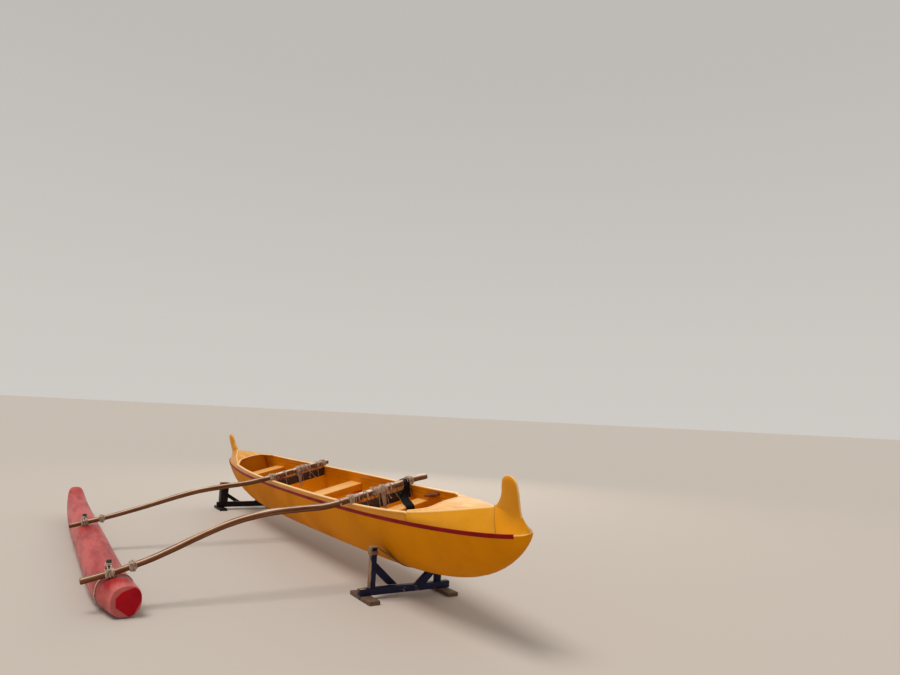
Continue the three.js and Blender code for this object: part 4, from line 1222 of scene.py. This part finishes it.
def makeFloatCrossing(name):
    peg = fittings["peg"]
    local = beamPath(name)
    path = [canoeToYard @ p for p in local]
    x = beams[name]["x"] + peg["ahead"]
    y, z, _, high = floatAt(x)
    y += peg["aside"]
    top = z + high + peg["height"]
    makePeg(name, x, y, top)
    k = min(range(len(path)), key=lambda i: abs(path[i].y - y))
    centre = local[k].y
    dy, dx, dz, size, tilt = fittings["knot"]
    knot = knotOf(beamAt(local, centre + dy)[0] + Vector((dx, 0, dz)), size, tilt)
    turns = coils(local, centre, fittings["coil"])
    hank = coils(local, centre, fittings["hank"]) + [knot]
    turns, hank = [[[canoeToYard @ p for p in line] for line in lines] for lines in (turns, hank)]
    loops = fittings["loops"]
    at, reach = Vector((x, y, top - loops["down"])), peg["radius"] + loops["over"]
    for turn in range(loops["turns"]):
        turns.append([Vector((at.x + reach * math.cos(a), at.y + reach * math.sin(a),
                              at.z - turn * loops["pitch"])) for a in fullTurn(20)])
    for dy in (-9, 9):   # from the peg down to the beam
        start = at + Vector((-peg["radius"] * 0.3, dy * 1.5, -6))
        end = path[k] + Vector((24, dy, 24))
        turns.append(evenPath([start, start.lerp(end, 0.5) + Vector((0, 0, -3)), end], 12))
    ropePiece(f"lashing_{name}_float", turns, lashings["cord"], [f"lashing_{name}_float"],
              space=yardToPart)
    ropePiece(f"beam_knot_{name}", hank, fittings["hankCord"], space=yardToPart)


makeFloat()
makeFloatFace()
makeFloatBand()
makeFloatCrossing("aft")
makeFloatCrossing("fwd")
print("float made")


# Trestles. "rubbed" is how far in from port and how far down from the top the paint is rubbed,
# and how strong the upper wear is: 0 where it is rubbed only where the two meet
trestles = {"aft": {"finish": "blue", "feet": "plank", "brace": 50},
            "fwd": {"finish": "black", "feet": "black", "brace": 42},
            "bevel": 3.5, "braceBevel": 2.5,
            "rubbed": {"trestle_aft_post_port": (6, 110, 0.5), "trestle_aft_beam": (58, 3, 0)}}


def cutAcross(bm, at, normal):
    bmesh.ops.bisect_plane(bm, geom=bm.verts[:] + bm.edges[:] + bm.faces[:], plane_co=at,
                           plane_no=normal)


def nodeBoard(node, finish):
    low, high = [corner * 1000 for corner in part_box(node)]
    bm = boardOf(low, high, trestles["bevel"])
    port, top, share = trestles["rubbed"].get(node, (0, 0, 0))
    if port:   # cuts that bound the bare wood
        for inward in (port, port / 3):
            cutAcross(bm, (0, high.y - inward, 0), (0, 1, 0))
        for down in (top, top / 3):
            cutAcross(bm, (0, 0, high.z - down), (0, 0, 1))
    piece = addPiece(node + "_timber", bm, finish, [node], space=millimetres, edge=0.6)

    def rubbed(p):
        side = smoothStep(p.y, high.y - port, high.y - port / 3)
        upper = smoothStep(p.z, high.z - top, high.z - top / 3)
        return max(side, upper * share) if share else side * max(upper, 0.3)
    if port:
        setWear(piece, rubbed, space=millimetres)


def makeBrace(name, side, inward):
    node = f"trestle_{name}_brace_{side}"
    low, high = [corner * 1000 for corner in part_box(node)]
    yPost, yFoot = (high.y, low.y) if inward > 0 else (low.y, high.y)
    run = abs(yPost - yFoot) / (high.z - low.z)
    sloped = trestles[name]["brace"] * math.hypot(1, run)
    outline = [(yPost, high.z), (yFoot, low.z), (yFoot + inward * sloped, low.z),
               (yPost, high.z - sloped / run)]
    bm, _ = newMesh()
    flat = bm.faces.new([bm.verts.new((low.x, y, z)) for y, z in outline])
    grown = bmesh.ops.extrude_face_region(bm, geom=[flat])
    moved = [v for v in grown["geom"] if isinstance(v, bmesh.types.BMVert)]
    bmesh.ops.translate(bm, vec=(high.x - low.x, 0, 0), verts=moved)
    bmesh.ops.recalc_face_normals(bm, faces=bm.faces)
    softenEdges(bm, bm.edges[:], trestles["braceBevel"])
    addPiece(node + "_timber", bm, trestles[name]["finish"], [node], space=millimetres, edge=0.6)


for trestleName in ("aft", "fwd"):
    trestle = trestles[trestleName]
    nodeBoard(f"trestle_{trestleName}_beam", trestle["finish"])
    for sideName, sideSign in (("port", 1), ("starboard", -1)):
        nodeBoard(f"trestle_{trestleName}_foot_{sideName}", trestle["feet"])
        nodeBoard(f"trestle_{trestleName}_post_{sideName}", trestle["finish"])
        makeBrace(trestleName, sideName, sideSign)
print("trestles made")


# Seats with their aprons and ledgers: "at" gives each one's place and width
seats = {"at": {"fwd": (1930, 235), "mid": (-182, 235), "aft": (-1505, 150)}, "top": 420,
         "board": 22, "apron": 62, "lip": 14, "round": 9, "fit": 0.4, "steps": 24,
         "worn": (0.5, 9, 1),
         "ledger": {"wide": 26, "high": 32, "short": 18, "clear": 4, "fitAt": 30, "under": 0.5}}
clearance = {"strake": 10.5, "shell": 11.5}   # from the hull's outside to where a fitting ends


def innerY(x, z):   # half the clear width inside the hull at a height
    if z >= stripeZ(x):
        return strakeY(x) - clearance["strake"]
    share = min((stripeZ(x) - z) / (stripeZ(x) - keelZ(x)), 0.999)
    turn = math.asin(share ** (1 / hull["section"]))
    return halfBeam(x) * math.cos(turn) ** hull["section"] - clearance["shell"]


def seatSection(half):   # up the aft apron, over the top, down the forward one and back inside
    top, radius, lip = seats["top"], seats["round"], seats["lip"]
    low, under = top - seats["apron"], top - seats["board"]
    row = [(half, low)] + [(half - radius * (1 - math.cos(a)), top - radius * (1 - math.sin(a)))
                           for a in [math.pi / 2 * i / 5 for i in range(6)]]
    return ([(-x, z) for x, z in row] + row[::-1]
            + [(half - lip, low), (half - lip, under), (-half + lip, under), (-half + lip, low)])


def makeSeat(name, x, width):
    top, half, ledger = seats["top"], width / 2, seats["ledger"]
    section = seatSection(half)

    def place(u, v):
        dx, z = section[round(v * len(section)) % len(section)]
        wide = innerY(x + dx, z) - seats["fit"]
        return Vector((x + dx, lerp(-wide, wide, u), z))
    bm = sheetOf(place, seats["steps"], len(section), (0.5, 0.5))
    closeEnds(bm)
    bmesh.ops.recalc_face_normals(bm, faces=bm.faces)
    parts = [bm]
    below = top - seats["board"]
    outer = innerY(x, below - ledger["fitAt"]) - ledger["clear"]
    reach = half - ledger["short"]
    for sign in (-1, 1):
        near, far = sorted((sign * outer, sign * (outer - ledger["wide"])))
        parts.append(boardOf((x - reach, near, below - ledger["high"]),
                             (x + reach, far, below - ledger["under"])))
    nodes = [f"seat_{name}", f"seat_ledger_{name}_port", f"seat_ledger_{name}_starboard"]
    piece = addPiece(f"seat_{name}_board", merge(parts), "yellow", nodes, tidy=False, edge=0.6)
    worn, low, high = seats["worn"]
    setWear(piece, lambda p: worn * smoothStep(p.z, top - low, top - high))


# Bulkheads under the decks' edges
bulkhead = {"at": 2330, "floor": 13, "clear": 9, "aside": 6, "thick": 0.010, "steps": 12,
            "shellPoints": 24, "sidePoints": 8, "underRidge": (6, 16, 9.5), "crown": 2}


def makeBulkhead(name, sign):
    x = sign * bulkhead["at"]
    ridge, count = follow(decks["ridgeZ"], abs(x)), bulkhead["shellPoints"]
    outline = []
    for i in range(count + 1):   # up the shell's inside
        z = lerp(keelZ(x) + bulkhead["floor"], stripeZ(x), (i / count) ** 2)
        outline.append((innerY(x, z), z))
    count, (lower, inward, low) = bulkhead["sidePoints"], bulkhead["underRidge"]
    for i in range(1, count + 1):   # the deck's side, and under its ridge to the middle
        p = endPoint(x, decks["side"] * i / count)
        outline.append((p.y - bulkhead["clear"], p.z - lower * (i == count)))
    outline += [(outline[-1][0] - inward, ridge - low), (0, ridge + bulkhead["crown"])]

    def place(u, v):
        y, z = outline[round(v * (len(outline) - 1))]
        return Vector((x + sign * bulkhead["aside"], lerp(-1, 1, u) * max(y, 0.5), z))
    bm = sheetOf(place, bulkhead["steps"], len(outline) - 1, (0.4, 0.4))
    bmesh.ops.remove_doubles(bm, verts=bm.verts, dist=0.01)
    pointTowards(bm, forward * -sign)
    addWall(addPiece(name, bm, "yellow", [name], tidy=False), bulkhead["thick"])


# The cleat on the starboard wall
cleat = {"x": -1715, "z": 484, "length": 220, "high": 26, "deep": 26, "tilt": 0.17, "back": 4,
         "ends": 0.66, "horn": 3, "into": (0.5, 0.3), "bevel": (6, 3)}


def makeCleat():
    x, z, half = cleat["x"], cleat["z"], cleat["length"] / 2
    gap, bed = cleat["into"]
    wall = innerY(x, z) - gap
    bm = boardOf((x - half, -wall, z - cleat["high"] / 2),
                 (x + half, -wall + cleat["deep"], z + cleat["high"] / 2), *cleat["bevel"])
    for vert in bm.verts:   # a waist for the rope, horns at its two ends
        t = abs(vert.co.x - x) / half
        if vert.co.y > -wall + cleat["back"]:
            vert.co.z = z + (vert.co.z - z) * lerp(1.0, cleat["ends"], t ** 2)
            vert.co.y += cleat["horn"] * t ** 2
        if vert.co.y < -wall + cleat["back"]:   # its back follows the wall
            vert.co.y = -innerY(vert.co.x, z) + bed
    bmesh.ops.rotate(bm, cent=Vector((x, 0, z)), matrix=Matrix.Rotation(cleat["tilt"], 3, "Y"),
                     verts=bm.verts)
    addPiece("cleat_block", bm, "redWood", ["cleat"], edge=0.6)


# The strap: a loop round the aft beam whose tail, as (x, y, z, slant), lies folded on the seat
strap = {"y": -214, "width": 44, "thick": 2.8, "clear": 2.4, "folds": 3, "foldStep": (3.2, 13),
         "tail": [(-1362, -204, 508, 0), (-1364, -180, 462, 0.1), (-1378, -163, 435, 0.3),
                  (-1402, -154, 424, 0.34), (-1430, -145, 422, 0.34), (-1500, -121, 422, 0.3),
                  (-1562, -101, 422, 0.1), (-1582, -97, 418, 0), (-1584, -94, 400, 0),
                  (-1584, -89, 347, 0)]}


def strapLoop():   # from a short end aft of the beam, once round it, and down again
    x, level, y = beams["aft"]["x"], beamLevel(beams["aft"]["x"]), strap["y"]
    reach, high = beams["width"] / 2 + strap["clear"], beams["height"] / 2 + strap["clear"]
    loop = [Vector((x - reach, y + 12, level - high - 40)),
            Vector((x - reach, y + 5, level - high - 8))]
    for a in fullTurn(40):
        c, s = boxRound(math.pi + a, 0.3)
        loop.append(Vector((x + c * reach, y, level + s * -high)))
    return loop + [Vector((x - reach - 3.4, y - 4, level - high * 0.4)),
                   Vector((x - reach - 4, y + 2, level - high - 46))]


def makeStrap():
    tail, last = strap["tail"], len(strap["tail"]) - 1
    slants = [(i / last, row[3]) for i, row in enumerate(tail)]
    over, apart = strap["foldStep"]
    parts = [bandOf(evenPath(smoothPath(strapLoop(), 300), 5), strap["width"], strap["thick"],
                    lambda t: Vector((0.10 * math.sin(t * 19), 1, 0.08 * math.sin(t * 31))))]
    for k in range(strap["folds"]):   # over one another and spread out on the seat
        line = []
        for i, (x, y, z, _) in enumerate(tail):
            share = min(1, i / 3)
            behind = smoothStep(-x, 1570, 1584)
            lower = 14 * (k == 1) * (i == last)
            line.append(Vector((x - over * k * behind, y + apart * (k - 1) * share,
                                z + over * k * (1 - behind) - lower)))
        path = eased(evenPath(smoothPath(line, 160), 6))
        ripple = [p + Vector((0, 2.2 * math.sin(i * 0.31 + k * 2),
                              1.5 * (1 + math.sin(i * 0.45 + k * 2.4)) * (p.z < 440)))
                  for i, p in enumerate(path)]
        parts.append(bandOf(ripple, strap["width"], strap["thick"],
                            lambda t: Vector((follow(slants, t), 1, 0.12 * math.sin(t * 23 + k)))))
    addPiece("strap_webbing", merge(parts), "strap", ["strap"], tidy=False)


# Slings over the post tops, taut under the hull, tied to each post with a few turns of cord
slings = {"width": 60, "thick": 4, "drop": 58, "inner": 252, "cord": 3, "turns": 4, "pitch": 6.6,
          "aft": {"x": -1687, "y": 86, "post": 44, "top": 362, "stock": 46},
          "fwd": {"x": 2674, "y": 53, "post": 88, "top": 326, "stock": 118}}


def lowerHull(points):   # the taut line that bears on these (y, z) points from below
    chain = []
    for p in sorted(points):
        while len(chain) > 1:
            (y0, z0), (y1, z1) = chain[-2:]
            if (y1 - y0) * (p[1] - z0) - (z1 - z0) * (p[0] - y0) > 0:
                break
            chain.pop()
        chain.append(p)
    return chain


def makeSling(name):
    sling = slings[name]
    x = (canoeToYard.inverted() @ Vector((sling["x"], sling["y"], 250))).x
    lift = slings["thick"] / 2 + 0.6
    under = [canoeToYard @ shellPoint(x, math.pi * i / 90, lift) for i in range(91)]
    port, starboard = sling["y"] + slings["inner"], sling["y"] - slings["inner"]
    top, out, drop = sling["top"] + lift, sling["post"] + lift, slings["drop"]
    chain = lowerHull([(starboard, top), *[(p.y, p.z) for p in under if starboard < p.y < port],
                       (port, top)])
    line = [(starboard - out, top - drop), (starboard - out, top - 5), (starboard - out + 5, top),
            *chain, (port + out - 5, top), (port + out, top - 5), (port + out, top - drop)]
    path = eased([Vector((sling["x"], y, z)) for y, z in line])
    parts = [bandOf(path, slings["width"], slings["thick"],
                    lambda t: Vector((1, 0.05 * math.sin(t * 40), 0.06 * math.sin(t * 23))))]
    wide, deep = sling["stock"] / 2 + 3.4, sling["post"] / 2 + 6.5
    for end in (port + sling["post"] / 2, starboard - sling["post"] / 2):
        for k in range(slings["turns"]):
            z = sling["top"] - 30 - k * slings["pitch"]
            ring = []
            for i, a in enumerate(fullTurn(40)):
                c, s = boxRound(a, 0.3)
                ring.append(Vector((sling["x"] + c * wide, end + s * deep, z + 1.5 * math.sin(i))))
            parts.append(ropeOf(ring, slings["cord"], 6))
    for part in parts[1:]:
        bmesh.ops.recalc_face_normals(part, faces=part.faces)
    addPiece(f"sling_{name}_webbing", merge(parts), "webbing", [f"sling_{name}"],
             space=yardToPart, tidy=False)


for seatName, (seatX, seatWidth) in seats["at"].items():
    makeSeat(seatName, seatX, seatWidth)
makeBulkhead("bow_bulkhead", 1)
makeBulkhead("stern_bulkhead", -1)
makeCleat()
makeStrap()
makeSling("aft")
makeSling("fwd")
print("fittings made")


# Studio: "sky" is the light by height, tinted, and lamps are (place, size, power, colour)
studio = {"floor": (0.50, 0.455, 0.415), "floorSize": 400,
          "sky": [(0, 0.62), (0.12, 0.60), (0.45, 0.52), (1, 0.50)], "tint": (1.0, 0.955, 0.90),
          "sun": {"at": (0.6, 3.0, 8.5), "power": 2.0, "angle": 0.5, "colour": (1.0, 0.96, 0.90)},
          "glow": {"at": (5.2, -5.2, 4.2), "size": 5.0, "power": 90, "colour": (1.0, 0.90, 0.74)},
          "aim": (0, 0, 0.3)}


def makeFloor():
    bm = bmesh.new()
    bmesh.ops.create_grid(bm, x_segments=1, y_segments=1, size=studio["floorSize"])
    mesh = bpy.data.meshes.new("floor")
    bm.to_mesh(mesh)
    bm.free()
    floor = bpy.data.objects.new("floor", mesh)
    bpy.context.scene.collection.objects.link(floor)
    mesh.materials.append(Shader("paleFloor").finish(Base_Color=studio["floor"], Roughness=0.9))


def makeSky():
    world = bpy.data.worlds.new("soft")
    world.use_nodes = True
    tree = world.node_tree
    coords = tree.nodes.new("ShaderNodeTexCoord")
    split = tree.nodes.new("ShaderNodeSeparateXYZ")
    ramp = tree.nodes.new("ShaderNodeValToRGB")
    fillRamp(ramp, [(at, shade(studio["tint"], light)) for at, light in studio["sky"]])
    tree.links.new(coords.outputs["Generated"], split.inputs[0])
    tree.links.new(split.outputs["Z"], ramp.inputs[0])
    tree.links.new(ramp.outputs["Color"], tree.nodes["Background"].inputs["Color"])
    bpy.context.scene.world = world
    bpy.context.scene.view_settings.view_transform = "Standard"


def makeLamp(name, kind):
    settings = studio[name]
    data = bpy.data.lights.new(name, kind)
    data.energy, data.color = settings["power"], settings["colour"]
    if kind == "SUN":
        data.angle = settings["angle"]
    else:
        data.shape, data.size = "DISK", settings["size"]
    lamp = bpy.data.objects.new(name, data)
    lamp.location = settings["at"]
    aim = Vector(studio["aim"]) - Vector(settings["at"])
    lamp.rotation_euler = aim.to_track_quat("-Z", "Y").to_euler()
    bpy.context.scene.collection.objects.link(lamp)


makeFloor()
makeSky()
makeLamp("sun", "SUN")
makeLamp("glow", "AREA")
print("studio made")
